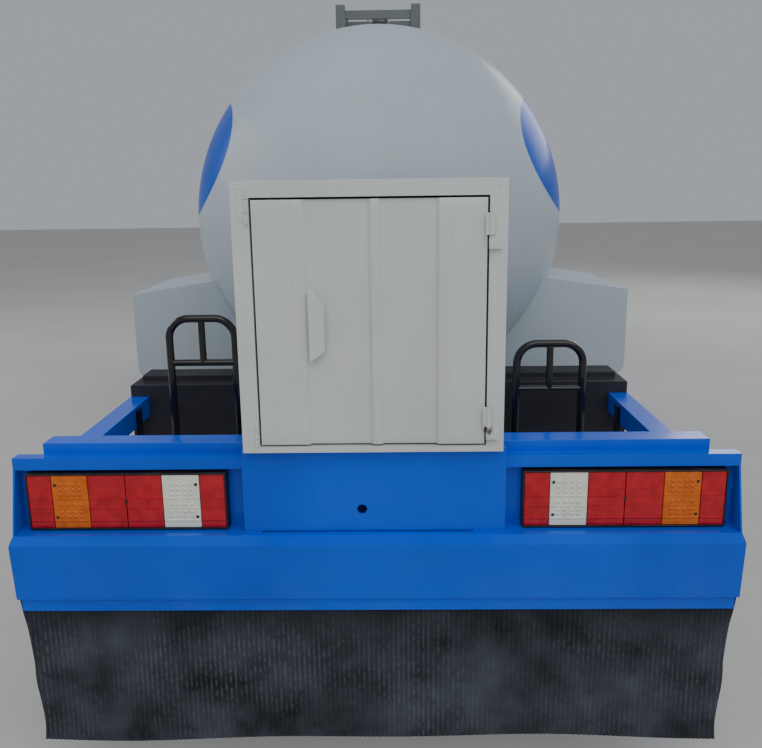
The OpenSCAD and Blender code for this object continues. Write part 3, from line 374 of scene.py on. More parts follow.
def prism(bm, outline, place, depth):
    """A flat outline made thick: place turns (u, v, depth) into a point."""
    ends = [[bm.verts.new(place(u, v, d)) for u, v in outline] for d in depth]
    bm.faces.new(ends[0])
    bm.faces.new(ends[1][::-1])
    count = len(outline)
    for k in range(count):
        after = (k + 1) % count
        bm.faces.new((ends[0][k], ends[0][after], ends[1][after], ends[1][k]))


def lathe(bm, origin, axis, profile, sides=24):
    """Turns a profile of (distance along the axis, radius) about the axis."""
    facing = Vector(axis).to_track_quat("Z", "Y").to_matrix()
    origin = Vector(origin)
    rings = []
    for along, radius in profile:
        angles = [0.0] if radius < 1e-6 else [math.tau * k / sides for k in range(sides)]
        spots = [Vector((radius * math.cos(a), radius * math.sin(a), along)) for a in angles]
        rings.append([bm.verts.new(origin + facing @ spot) for spot in spots])
    for one, two in zip(rings, rings[1:]):
        for k in range(sides):
            ids = (one[k % len(one)], one[(k + 1) % len(one)], two[(k + 1) % len(two)], two[k % len(two)])
            corners = list(dict.fromkeys(ids))
            if len(corners) > 2:
                bm.faces.new(corners)


def rod(bm, start, end, radius, sides=16):
    start, end = Vector(start), Vector(end)
    length = (end - start).length
    lathe(bm, start, end - start, [(0, 0), (0, radius), (length, radius), (length, 0)], sides)


def bolt(bm, at, axis, radius):
    """A hexagon head on a washer."""
    lathe(bm, at, axis, [(0, 0), (0, 1.5 * radius), (0.25 * radius, 1.5 * radius), (0.25 * radius, 0)], 20)
    head = [(0, 0), (0, radius), (0.85 * radius, radius), (radius, 0.85 * radius), (radius, 0)]
    lathe(bm, Vector(at) + Vector(axis).normalized() * 0.2 * radius, axis, head, 6)


def rivet(bm, at, axis, radius):
    """A domed rivet head."""
    dome = [(0, 0), (0, radius)]
    dome += [(0.6 * radius * math.sin(a), radius * math.cos(a)) for a in (0.4, 0.8, 1.2)] + [(0.6 * radius, 0)]
    lathe(bm, at, axis, dome, 12)


def sweep(bm, points, radius, sides=10, closed=False):
    """A round bar along a line of points."""
    points = [Vector(p) for p in points]
    count = len(points)
    rings, up = [], None
    for k, p in enumerate(points):
        before = points[k - 1] if (k or closed) else p
        after = points[(k + 1) % count] if (k < count - 1 or closed) else p
        along = (after - before).normalized()
        if up is None:
            up = along.orthogonal().normalized()
        up = (up - along * up.dot(along)).normalized()
        across = along.cross(up)
        rings.append([
            bm.verts.new(p + radius * (math.cos(a) * up + math.sin(a) * across))
            for a in (math.tau * s / sides for s in range(sides))
        ])
    pairs = list(zip(rings, rings[1:])) + ([(rings[-1], rings[0])] if closed else [])
    for one, two in pairs:
        for s in range(sides):
            t = (s + 1) % sides
            bm.faces.new((one[s], one[t], two[t], two[s]))
    if not closed:
        for ring in (rings[0][::-1], rings[-1]):
            bm.faces.new(ring)


def grid(bm, rows, closed=False):
    """A skin through rows of points; closed joins the last row to the first."""
    made = [[bm.verts.new(p) for p in row] for row in rows]
    pairs = list(zip(made, made[1:])) + ([(made[-1], made[0])] if closed else [])
    for one, two in pairs:
        for a, b, c, d in zip(one, one[1:], two[1:], two):
            bm.faces.new((a, b, c, d))


def join_loops(bm, loops):
    """Faces between each closed loop of vertices and the next."""
    for one, two in zip(loops, loops[1:]):
        for k in range(len(one)):
            after = (k + 1) % len(one)
            bm.faces.new((one[k], one[after], two[after], two[k]))


def closed_form(bm, rows):
    """A skin through closed loops of points, with a face at each end."""
    loops = [[bm.verts.new(p) for p in row] for row in rows]
    join_loops(bm, loops)
    for loop in (loops[0], loops[-1]):
        bm.faces.new(loop)


def piece(name, bm, material, body, bevel=0.0, sharp=35.0):
    """Makes the mesh a named piece that rides on a body."""
    bmesh.ops.recalc_face_normals(bm, faces=bm.faces)
    mesh = bpy.data.meshes.new(name)
    bm.to_mesh(mesh)
    bm.free()
    mesh.materials.append(material)
    mesh.shade_smooth()
    mesh.set_sharp_from_angle(angle=math.radians(sharp))
    obj = bpy.data.objects.new(name, mesh)
    bpy.context.scene.collection.objects.link(obj)
    if bevel:
        soften(obj, bevel)
    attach(obj, body)
    return obj


def soften(obj, width):
    """Rounds the hard edges, as folded and welded metal has."""
    edge = obj.modifiers.new("edges", "BEVEL")
    edge.width = width
    edge.segments = 2
    edge.limit_method = "ANGLE"
    edge.angle_limit = math.radians(FOLD_ANGLE)
    edge.harden_normals = True


def finish_node(name, material, bevel=0.0):
    """Gives a CAD node its material and rounds its edges."""
    node = NODES[name]
    for place in node.material_slots:
        place.material = material
    if bevel:
        weld = node.modifiers.new("weld", "WELD")
        weld.merge_threshold = 0.00005
        soften(node, bevel)


# ---- the stage

def add_camera():
    """Someone standing two metres behind the lamp apron, looking slightly down."""
    yaw, pitch, roll = -0.0192, 0.2258, -0.0134
    eye_x, eye_back, eye_height = 0.0694, 2.198, 1.902
    ahead = Vector((math.sin(yaw) * math.cos(pitch), math.cos(yaw) * math.cos(pitch), -math.sin(pitch)))
    right = Vector((math.cos(yaw), -math.sin(yaw), 0.0))
    up = right.cross(ahead)
    across = math.cos(roll) * right + math.sin(roll) * up
    upward = math.cos(roll) * up - math.sin(roll) * right
    data = bpy.data.cameras.new("camera")
    data.sensor_width = 36.0
    data.lens = 37.66
    camera = bpy.data.objects.new("camera", data)
    turned = Matrix((across, upward, -ahead)).transposed()
    camera.matrix_world = Matrix.Translation((eye_x, cad_box[0].y - eye_back, eye_height)) @ turned.to_4x4()
    bpy.context.scene.collection.objects.link(camera)
    bpy.context.scene.camera = camera


def area_light(name, at, target, size, power, colour=(1.0, 1.0, 1.0)):
    data = bpy.data.lights.new(name, "AREA")
    data.shape = "RECTANGLE"
    data.size, data.size_y = size
    data.energy = power
    data.color = colour
    light = bpy.data.objects.new(name, data)
    light.location = at
    light.rotation_euler = (Vector(target) - Vector(at)).to_track_quat("-Z", "Y").to_euler()
    bpy.context.scene.collection.objects.link(light)


def add_stage():
    """A pale floor, a pale sky and soft lights, brightest over the rear end."""
    material, tree, surface = shader("floor_pale")
    tone = blend(tree, cloud(tree, 0.6, 5.0, 0.3, 0.7), (0.62, 0.61, 0.59), (0.56, 0.55, 0.53))
    rough = cloud(tree, 3.0, 5.0, 0.3, 0.7, 0.75, 0.9)
    connect(tree, surface, tone, rough, bump(tree, noise(tree, 60.0, 5.0), 0.2, 0.002))
    bm = bmesh.new()
    reach = 40.0
    grid(bm, [[(x, y, 0.0) for x in (-reach, 0.0, reach)] for y in (-reach, 0.0, reach)])
    mesh = bpy.data.meshes.new("floor")
    bm.to_mesh(mesh)
    bm.free()
    mesh.materials.append(material)
    floor = bpy.data.objects.new("floor", mesh)
    bpy.context.scene.collection.objects.link(floor)
    world = bpy.data.worlds.new("studio")
    world.use_nodes = True
    sky = world.node_tree.nodes["Background"].inputs
    sky["Color"].default_value = (0.90, 0.94, 1.0, 1.0)
    sky["Strength"].default_value = 0.42
    bpy.context.scene.world = world
    area_light("over_rear", (1.5, -8.5, 7.5), (0.0, -3.0, 1.3), (11.0, 7.0), 370.0)
    area_light("left_side", (-9.0, -1.0, 6.0), (0.0, 0.0, 1.2), (8.0, 4.0), 260.0, (1.0, 0.97, 0.92))
    area_light("right_front", (8.0, 7.0, 6.5), (0.0, 1.0, 1.2), (8.0, 5.0), 330.0)


# ---- rear end

LAMP_INNER = 0.449
HOOP_BAR = 0.040
BARREL_PROUD = 0.018  # how far the door's hinge barrels stand behind its face
LAMP_SECTIONS = (
    (0.0, 0.122, "red"), (0.122, 0.307, "amber"), (0.307, 0.497, "red"),
    (0.497, 0.683, "red"), (0.683, 0.873, "white"), (0.873, 1.0, "red"),
)


def tail_lamps():
    """Both lamp rows: a dark housing, raised lenses with diode domes, ridges along the lenses and small screws."""
    low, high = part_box("tail_lamps")
    outer = high.x
    rim, front = 0.0045, low.y
    glaze = front + 0.004
    tall = high.z - low.z
    housing, screws = bmesh.new(), bmesh.new()
    lenses = {colour: bmesh.new() for colour in ("red", "amber", "white")}
    length = outer - LAMP_INNER - 2 * rim
    for side in SIDES:
        block(housing, (side * LAMP_INNER, glaze + 0.010, low.z), (side * outer, high.y, high.z))
        for z0, z1 in ((low.z, low.z + rim), (high.z - rim, high.z)):
            block(housing, (side * LAMP_INNER, front + 0.002, z0), (side * outer, glaze + 0.012, z1))
        for x0, x1 in ((LAMP_INNER, LAMP_INNER + rim), (outer - rim, outer)):
            block(housing, (side * x0, front + 0.002, low.z + rim), (side * x1, glaze + 0.012, high.z - rim))
        for start, end, colour in LAMP_SECTIONS:
            x0 = outer - rim - start * length - 0.001
            x1 = outer - rim - end * length + 0.001
            bm = lenses[colour]
            block(bm, (side * x0, glaze, low.z + rim + 0.001), (side * x1, glaze + 0.012, high.z - rim - 0.001))
            for share, thick in ((0.16, 0.0032), (0.38, 0.0018), (0.56, 0.0028)):
                z = low.z + share * tall
                ends = [(side * x, glaze + 0.0004, z) for x in (x0 - 0.002, x1 + 0.002)]
                rod(bm, *ends, thick, 10)
            if colour == "red":
                continue
            for column in range(4):
                x = x0 + (x1 - x0) * (0.23 + 0.18 * column)
                for share in (0.24, 0.31, 0.45, 0.63, 0.72, 0.81):
                    dome = [(0, 0.0062), (0.0018, 0.0052), (0.0030, 0.0030), (0.0034, 0)]
                    lathe(bm, (side * x, glaze, low.z + share * tall), (0, -1, 0), dome, 12)
            edge_x = x0 - 0.010 if colour == "amber" else x1 + 0.010
            for share in (0.22, 0.80):
                hole = [(0, 0.0052), (0.0012, 0.0046), (0.0012, 0)]
                lathe(screws, (side * edge_x, glaze, low.z + share * tall), (0, -1, 0), hole, 14)
        middle = outer - rim - 0.497 * length
        knob = [(0, 0.005), (0.003, 0.0045), (0.003, 0)]
        lathe(screws, (side * middle, glaze, (low.z + high.z) / 2), (0, -1, 0), knob, 14)
    body = piece("lamp_housings", housing, BLACK_PLASTIC, "chassis", 0.0015)
    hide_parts("tail_lamps")
    for colour, material in (("red", RED), ("amber", AMBER), ("white", CLEAR)):
        piece("lamp_lenses_" + colour, lenses[colour], material, "chassis", 0.002)
    piece("lamp_screws", screws, BLACK_PLASTIC, "chassis")


def mud_flap():
    """The full-width rubber flap: upright ribs, a lazy wave and wavy lower sides."""
    low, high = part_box("mud_flap")
    rib, rows_count, rim = 0.0026, 26, 0.12
    drop = high.z - low.z
    steps = int((high.x - low.x) / RIB_PITCH) * 4
    columns = [low.x + (high.x - low.x) * k / steps for k in range(steps + 1)]

    def spot(x, z, back):
        down = (high.z - z) / drop
        half = high.x - 0.030 * min(1.0, 2.2 * down) - 0.010 * math.sin(9.0 * down) * down
        core = high.x - rim
        if abs(x) > core:
            x = math.copysign(core + (abs(x) - core) * (half - core) / rim, x)
        sway = 0.011 * down * math.sin(2.6 * x + 0.7) + 0.006 * down * math.sin(7.1 * x + 4.0 * down)
        ridge = 0.0 if back else rib * abs(math.sin(math.pi * x / RIB_PITCH))
        y = (high.y if back else low.y + rib) - ridge + sway - 0.004 * down
        return x, y, z

    bm = bmesh.new()
    rows = []
    for k in range(rows_count + 1):
        z = high.z - drop * k / rows_count
        front = [spot(x, z, False) for x in columns]
        behind = [spot(x, z, True) for x in columns[::-12]]
        rows.append(front + behind)
    closed_form(bm, rows)
    flap = piece("mud_flap_ribbed", bm, FLAP, "chassis", sharp=70.0)
    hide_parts("mud_flap")


def cabinet_door():
    """The folded door sheet: two shallow pans, a rib between them and grooves; its handle and hinge barrels."""
    low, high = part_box("cabinet_door")
    face = low.y + BARREL_PROUD
    back = face + 0.034
    left, right = low.x, 0.324
    depth, slope = 0.0110, 0.0125
    pans, grooves = ((-0.187, 0.006), (0.022, 0.194)), (-0.222, 0.222)

    def smooth(value):
        value = min(max(value, 0.0), 1.0)
        return value * value * (3 - 2 * value)

    def sunk(x):
        fold = 0.0
        for start, end in pans:
            fold = max(fold, smooth((x - start) / slope) * smooth((end - x) / slope))
        dip = sum(0.0014 * math.exp(-((x - g) / 0.004) ** 2) for g in grooves)
        return depth * fold + dip

    steps = 260
    shares = [left + (right - left) * k / steps for k in range(steps + 1)]
    inner = [low.z + (high.z - low.z) * k / 24 for k in range(1, 24)]
    heights = [low.z, low.z + 0.004] + inner + [high.z - 0.004, high.z]
    bm = bmesh.new()
    rows = []
    for z in heights:
        edge = 0.0015 if z in (low.z, high.z) else 0.0
        bow = 0.0012 * math.sin(3.4 * z)
        front = [(x, face + sunk(x) + edge + bow * math.sin(6.0 * x), z) for x in shares]
        rows.append(front + [(right, back, z), (left, back, z)])
    closed_form(bm, rows)
    skin = piece("cabinet_door_sheet", bm, CREAM, "cabinet_door", sharp=50.0)
    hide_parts("cabinet_door")

    handle = bmesh.new()
    x0, x1, z0, z1 = -0.174, -0.130, low.z + 0.252, low.z + 0.452
    proud, sheet = 0.0175, 0.003
    outline = [(x0, z0 + 0.003), (x0 + 0.006, z0), (x1, z0 + 0.028), (x1, z1 - 0.040), (x0 + 0.016, z1), (x0, z1)]
    inside = face - proud + sheet
    web = [(x0, z0 + 0.003), (x0 + sheet, z0 + 0.003), (x0 + sheet, z1), (x0, z1)]
    lip = [(x0 + 0.006, z0), (x1, z0 + 0.028), (x1, z0 + 0.032), (x0 + 0.006, z0 + 0.004)]
    folds = ((outline, face - proud, inside), (web, inside, face + 0.002), (lip, inside, face - 0.004))
    for flat, *depth in folds:
        prism(handle, flat, lambda u, v, d: (u, d, v), depth)
    piece("cabinet_door_handle", handle, CREAM, "cabinet_door", 0.001)

    barrels = bmesh.new()
    pin_x, pin_y = 0.335, -3.790
    for z in (low.z + 0.047, low.z + 0.593):
        for start, end, radius in ((0.0, 0.004, 0.0075), (0.006, 0.066, 0.008), (0.068, 0.072, 0.006)):
            rod(barrels, (pin_x, pin_y, z + start), (pin_x, pin_y, z + end), radius, 20)
        block(barrels, (pin_x - 0.017, pin_y - 0.0015, z + 0.006), (pin_x - 0.004, pin_y + 0.0015, z + 0.066))
    piece("cabinet_door_barrels", barrels, CREAM, "cabinet_door", 0.0008)


def cabinet_trim():
    """Keeper barrels on the left post and rivets in the upper corners."""
    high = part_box("rear_cabinet")[1]
    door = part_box("cabinet_door")
    face = door[0].y + BARREL_PROUD
    bm, keeper_x = bmesh.new(), -0.338
    for z0, z1 in ((door[0].z - 0.004, door[0].z + 0.066), (door[1].z - 0.066, door[1].z + 0.034)):
        for start, end, radius in ((0.0, 0.31, 0.0062), (0.33, 0.66, 0.0056), (0.68, 1.0, 0.0062)):
            ends = [(keeper_x, face, z0 + (z1 - z0) * share) for share in (start, end)]
            rod(bm, *ends, radius, 18)
        block(bm, (-0.362, face - 0.0015, z0 + 0.008), (keeper_x, face + 0.001, z1 - 0.008))
    for side in SIDES:
        rivet(bm, (side * 0.357, face, high.z - 0.02), (0, -1, 0), 0.004)
    piece("cabinet_keepers", bm, CREAM, "chassis", 0.0008)


def apron_trim():
    """Rivets along the clamp strip."""
    low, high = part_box("rear_apron")
    strip_z = low.z + 0.022
    rivets = bmesh.new()
    count = 30
    for k in range(count):
        x = low.x + 0.035 + (high.x - low.x - 0.07) * k / (count - 1)
        rivet(rivets, (x, low.y + 0.0255, strip_z), (0, -1, 0), 0.0045)
    piece("apron_rivets", rivets, BLUE, "chassis")


def hoop_feet():
    """Welded foot plates with nuts under the guard hoops."""
    low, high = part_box("guard_hoops")
    foot_z = low.z + HOOP_BAR
    bm, nuts = bmesh.new(), bmesh.new()
    y = (low.y + high.y) / 2
    for side in SIDES:
        for x in (0.495, 0.726):
            block(bm, (side * (x - 0.032), y - 0.03, foot_z), (side * (x + 0.032), y + 0.03, foot_z + 0.005))
            for dy in (-0.019, 0.019):
                bolt(nuts, (side * (x + 0.022), y + dy, foot_z + 0.005), (0, 0, 1), 0.005)
    piece("hoop_feet", bm, TUBE_BLACK, "chassis", 0.001)
    piece("hoop_nuts", nuts, FRAME_BLACK, "chassis")


# ---- tank

def tank_trim():
    """Weld beads round the shell, the manhole bolts and lifting eyes."""
    low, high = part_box("tank")
    radius = high.x
    centre_z = high.z - radius
    seams, bead = bmesh.new(), 1.0005 * radius
    for y in (low.y + 0.812, low.y + 2.40, high.y - 0.802):
        ring = [
            (bead * math.cos(a), y, centre_z + bead * math.sin(a)) for a in (math.tau * k / 96 for k in range(96))
        ]
        sweep(seams, ring, 0.0035, 6, closed=True)
    piece("tank_seams", seams, TANK_WHITE, "chassis")
    bolts = bmesh.new()
    manhole_y, lid_z, circle, count = -0.71, 2.665, 0.235, 16
    for k in range(count):
        a = math.tau * (k + 0.5) / count
        at = (circle * math.cos(a), manhole_y + circle * math.sin(a), lid_z)
        bolt(bolts, at, (0, 0, 1), 0.011)
    piece("manhole_nuts", bolts, ZINC, "chassis")
    eyes = bmesh.new()
    for y in (low.y + 1.0, high.y - 0.95):
        for side in SIDES:
            a = math.radians(62)
            foot = Vector((side * radius * math.cos(a), y, centre_z + radius * math.sin(a)))
            out = Vector((side * math.cos(a), 0, math.sin(a)))
            ring = [
                foot + out * (0.028 + 0.026 * math.sin(t)) + Vector((0, 0.026 * math.cos(t), 0))
                for t in (math.tau * k / 24 for k in range(24))
            ]
            sweep(eyes, ring, 0.007, 10, closed=True)
    piece("tank_lifting_eyes", eyes, TANK_WHITE, "chassis")


# ---- wheels

TYRE_WIDTH, BEAD_RADIUS = 0.215, 0.225

def tyre_mesh(bm, centre_x, centre_y, centre_z, radius):
    """A lorry tyre: ribbed tread with zigzag grooves and cut shoulders, bulged walls and bead."""
    half, bead = TYRE_WIDTH / 2, BEAD_RADIUS
    wall = radius - bead
    ribs, groove, gap, edge = 5, 0.010, 0.035, 0.86
    outline = [
        (-half * 0.80, bead), (-half * edge, bead + 0.012), (-half * 0.93, bead + 0.035),
        (-half, bead + 0.45 * wall), (-half * 0.985, bead + 0.62 * wall),
        (-half * 0.955, radius - 0.030), (-half * 0.90, radius - 0.012),
    ]
    across = []
    for k in range(ribs):
        a, b = (2 * edge * share / ribs - edge for share in (k, k + 1))
        across += [(a + gap, 1), (b - gap, 1)]
        if k < ribs - 1:
            across += [(b - gap * 0.8, 0), (b + gap * 0.8, 0)]
    tread = [(half * u, radius - (0.0 if top else groove)) for u, top in across]
    profile = outline + tread + [(-x, r) for x, r in outline[::-1]]
    first, last = len(outline), len(outline) + len(tread) - 1
    count = 160
    rows = []
    for s in range(count):
        a = math.tau * s / count
        wave = 0.0035 * (1 if (s // 2) % 2 else -1)
        cut = (s % 4) == 0
        row = []
        for k, (x, r) in enumerate(profile):
            if first < k < last:
                x += wave
            if cut and (first - 2 <= k <= first + 1 or last - 1 <= k <= last + 2):
                r -= 0.007
            row.append((centre_x + x, centre_y + r * math.cos(a), centre_z + r * math.sin(a)))
        row.append(row[0])
        rows.append(row)
    grid(bm, rows, closed=True)
    bmesh.ops.remove_doubles(bm, verts=bm.verts, dist=0.00005)


def rim_disc(bm, centre, side, outer, inner, face, dish):
    """A pressed disc with round hand holes between the hub circle and the rim."""
    holes, per_side = 10, 6
    reach, sector = (outer - inner) / 2, math.pi / holes
    middle = (outer + inner) / 2

    def spot(angle, radius):
        share = (radius - inner) / (outer - inner)
        x = face + dish * math.sin(math.pi * 0.5 * min(max(share, 0.0), 1.0))
        return Vector(centre) + Vector((side * x, radius * math.cos(angle), radius * math.sin(angle)))

    run = [-1 + 2 * k / per_side for k in range(per_side)]
    edge = [(1, t) for t in run] + [(-t, 1) for t in run] + [(-1, -t) for t in run] + [(t, -1) for t in run]
    for h in range(holes):
        mid_angle = 2 * sector * h
        loops = []
        for blend_out in (0.0, 0.25, 1.0):
            loop = []
            for u, v in edge:
                length = math.hypot(u, v)
                round_u, round_v = u / length * 0.30 * reach / (sector * middle) * 1.25, v / length * 0.56
                loop.append(bm.verts.new(spot(
                    mid_angle + sector * (round_u + (u - round_u) * blend_out),
                    middle + reach * (round_v + (v - round_v) * blend_out),
                )))
            loops.append(loop)
        join_loops(bm, loops)
    bmesh.ops.remove_doubles(bm, verts=bm.verts, dist=0.0005)


def wheel(name, side, centre_y, tyre_xs, disc_face, dish, hub, body):
    """Tyres, rims, disc, hub and nuts of one wheel; side is +1 on the right."""
    low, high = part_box(body)
    radius = (high.z - low.z) / 2
    centre_z = (high.z + low.z) / 2
    axis, middle = (side, 0, 0), (0, centre_y, centre_z)
    tyres = bmesh.new()
    for x in tyre_xs:
        tyre_mesh(tyres, side * x, centre_y, centre_z, radius)
    made = piece(name + "_tyre", tyres, TYRE, body, sharp=32.0)
    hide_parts(body)

    rims = bmesh.new()
    half = [(0.055, 0.205), (0.098, 0.219), (0.107, 0.232), (0.106, 0.240), (0.098, 0.238), (0.092, 0.226)]
    section = [(-along, r) for along, r in half[::-1]] + half + [(0.050, 0.212), (-0.050, 0.212), (-0.092, 0.226)]
    for x in tyre_xs:
        lathe(rims, (side * x, centre_y, centre_z), axis, section, 64)
    seat = disc_face + dish
    ring = [(seat - 0.008, 0.198), (seat - 0.008, 0.208), (seat + 0.004, 0.208), (seat + 0.002, 0.198)]
    back, front = disc_face - 0.008, disc_face + 0.001
    pad = [(back, 0.062), (back, 0.118), (front, 0.118), (front, 0.062)]
    for outline in (ring, pad):
        lathe(rims, middle, axis, outline + outline[:1], 64)
    piece(name + "_rim", rims, RIM_GREY, body, 0.0015)
    disc = bmesh.new()
    rim_disc(disc, middle, side, 0.204, 0.110, disc_face, dish)
    plate = piece(name + "_disc", disc, RIM_GREY, body)
    thick = plate.modifiers.new("plate", "SOLIDIFY")
    thick.thickness = 0.008
    thick.offset = -side

    core = bmesh.new()
    lathe(core, middle, axis, hub, 40)
    drum = [(-0.085, 0.12), (-0.085, 0.178), (0.03, 0.186), (0.04, 0.17), (0.04, 0.12), (-0.085, 0.12)]
    lathe(core, (side * tyre_xs[-1], centre_y, centre_z), axis, drum, 48)
    studs, stud_circle = 8, 0.0925
    for k in range(studs):
        a = math.tau * (k + 0.5) / studs
        spot = (side * (disc_face + 0.001), stud_circle * math.cos(a), stud_circle * math.sin(a))
        at = Vector(middle) + Vector(spot)
        bolt(core, at, axis, 0.0135)
        rod(core, at, at + Vector(axis) * 0.024, 0.0075, 12)
    piece(name + "_hub", core, CAST_IRON, body, 0.001)


def wheels():
    """The two front wheels and the two twin rear wheels."""
    for side, word in ((1, "right"), (-1, "left")):
        low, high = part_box("front_wheel_right")
        middle, front_y = (low.x + high.x) / 2, (low.y + high.y) / 2
        hub = [(middle - 0.02, 0), (middle - 0.02, 0.082), (middle + 0.045, 0.078), (middle + 0.052, 0.060),
               (middle + 0.094, 0.054), (middle + 0.100, 0.046), (middle + 0.100, 0)]
        wheel("front_" + word, side, front_y, [middle], middle + 0.026, -0.012, hub, "front_wheel_" + word)
        low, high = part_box("rear_wheels_right")
        outer, inner, rear_y = high.x - TYRE_WIDTH / 2, low.x + TYRE_WIDTH / 2, (low.y + high.y) / 2
        hub = [(outer - 0.17, 0), (outer - 0.17, 0.100), (outer - 0.045, 0.096), (outer - 0.020, 0.078),
               (outer - 0.014, 0.062), (outer + 0.006, 0.058), (outer + 0.010, 0.050), (outer + 0.010, 0)]
        wheel("rear_" + word, side, rear_y, [outer, inner], outer - 0.098, 0.040, hub, "rear_wheels_" + word)


# ---- cab

def rounded_loop(low_u, low_v, high_u, high_v, radius, place, steps=5):
    """Points round a rounded rectangle, turned into places by place(u, v)."""
    corners = (
        (high_u - radius, high_v - radius, 0), (low_u + radius, high_v - radius, 1),
        (low_u + radius, low_v + radius, 2), (high_u - radius, low_v + radius, 3),
    )
    return [
        place(u + radius * math.cos(a), v + radius * math.sin(a))
        for u, v, quarter in corners
        for a in (math.pi / 2 * (quarter + k / steps) for k in range(steps + 1))
    ]


def front_place(y_low, z_low, y_high, z_high, proud):
    """Places points on the leaning windscreen plane."""
    def place(x, z):
        share = (z - z_low) / (z_high - z_low)
        return x, y_low + (y_high - y_low) * share + proud, z
    return place


def window_seals():
    """Rubber seals round the windscreen and the door windows."""
    glass_low, glass_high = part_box("cab_glass")
    seals = bmesh.new()
    screen = front_place(glass_high.y, glass_low.z, glass_high.y - 0.275, glass_high.z, 0.004)
    lap = 0.004
    loop = rounded_loop(
        glass_low.x - lap, glass_low.z - lap, glass_high.x + lap, glass_high.z + lap, 0.03, screen,
    )
    sweep(seals, loop, 0.009, 8, closed=True)
    piece("screen_seal", seals, SEAL, "cab")
    for side, word in ((1, "right"), (-1, "left")):
        low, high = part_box("door_glass_" + word)
        outer = max(abs(low.x), abs(high.x)) + 0.002
        bm = bmesh.new()
        lap = 0.003
        loop = rounded_loop(
            low.y - lap, low.z - lap, high.y + lap, high.z + lap, 0.03, lambda u, v: (side * outer, u, v),
        )
        sweep(bm, loop, 0.007, 8, closed=True)
        piece("door_seal_" + word, bm, SEAL, "cab_door_" + word)


def cab_front():
    """Grille slats, wipers, marker lamps, steps and a blank plate."""
    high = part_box("cab_shell")[1]
    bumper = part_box("front_bumper")
    face = 3.66
    slats = bmesh.new()
    for k in range(6):
        z = 1.03 + 0.058 * k
        wide = 0.66 - 0.012 * k
        slat = [(face - 0.004, z), (face + 0.022, z + 0.006), (face + 0.022, z + 0.026), (face - 0.004, z + 0.036)]
        prism(slats, slat, lambda u, v, d: (d, u, v), (-wide, wide))
    for x in (-0.668, 0.0, 0.668):
        block(slats, (x - 0.012, face - 0.004, 1.02), (x + 0.012, face + 0.016, 1.365))
    block(slats, (-0.69, face - 0.004, 1.36), (0.69, face + 0.020, 1.378))
    block(slats, (-0.69, face - 0.004, 1.008), (0.69, face + 0.020, 1.026))
    piece("cab_grille", slats, BLACK_PLASTIC, "cab", 0.003)
    wipers = bmesh.new()
    reach = 0.42
    for x in (-0.52, 0.16):
        foot = Vector((x, face + 0.012, 1.50))
        tip = foot + Vector((reach * 0.75, -0.052, 0.30))
        lathe(wipers, foot - Vector((0, 0.02, 0)), (0, 1, 0), [(0, 0), (0, 0.018), (0.024, 0.015), (0.028, 0)], 16)
        sweep(wipers, [foot + Vector((0, 0.004, 0)), foot + Vector((reach * 0.35, -0.010, 0.14)), tip], 0.005, 8)
        blade = Vector((0.62, -0.10, 0.44)).normalized() * 0.26
        sweep(wipers, [tip - blade, tip, tip + blade], 0.006, 6)
    piece("cab_wipers", wipers, BLACK_PLASTIC, "cab")
    markers, steps = bmesh.new(), bmesh.new()
    dome = [(0, 0.052), (0.014, 0.048), (0.024, 0.03), (0.027, 0)]
    for x in (-0.8, -0.27, 0.27, 0.8):
        block(markers, (x - 0.035, 3.20, high.z - 0.004), (x + 0.035, 3.235, high.z - 0.0005))
    for side in SIDES:
        lathe(markers, (side * 0.90, face - 0.004, 1.2), (0, 1, 0), dome, 28)
    piece("cab_markers", markers, AMBER, "cab", 0.002)
    plate = bmesh.new()
    block(plate, (-0.26, bumper[1].y - 0.004, 0.62), (0.26, bumper[1].y - 0.0005, 0.73))
    piece("front_plate_blank", plate, DIAL, "chassis", 0.001)
    for side in SIDES:
        for k in range(5):
            y = 2.72 + 0.14 * k
            block(steps, (side * 0.86, y, 0.94), (side * 1.035, y + 0.018, 0.958))
    piece("step_treads", steps, ALUMINIUM, "cab", 0.002)


def door_details():
    """The handle, lock and mirror glass of each cab door."""
    skin, mirror_y, x0, x1 = 1.040, 3.32, 1.098, 1.222
    for side, word in ((1, "right"), (-1, "left")):
        body = "cab_door_" + word
        handle, mirror = bmesh.new(), bmesh.new()
        block(handle, (side * (skin - 0.012), 2.60, 1.375), (side * (skin - 0.001), 2.76, 1.435))
        block(handle, (side * (skin + 0.001), 2.615, 1.41), (side * (skin + 0.014), 2.745, 1.425))
        for y in (2.615, 2.733):
            block(handle, (side * (skin - 0.006), y, 1.41), (side * (skin + 0.012), y + 0.012, 1.425))
        lock = [(0, 0.014), (0.006, 0.012), (0.006, 0)]
        lathe(handle, (side * (skin - 0.004), 2.675, 1.345), (side, 0, 0), lock, 18)
        piece("door_handle_" + word, handle, BLACK_PLASTIC, body, 0.003)
        block(mirror, (side * x0, mirror_y - 0.0285, 1.645), (side * x1, mirror_y - 0.0245, 1.985))
        piece("mirror_glass_" + word, mirror, MIRROR, body, 0.001)


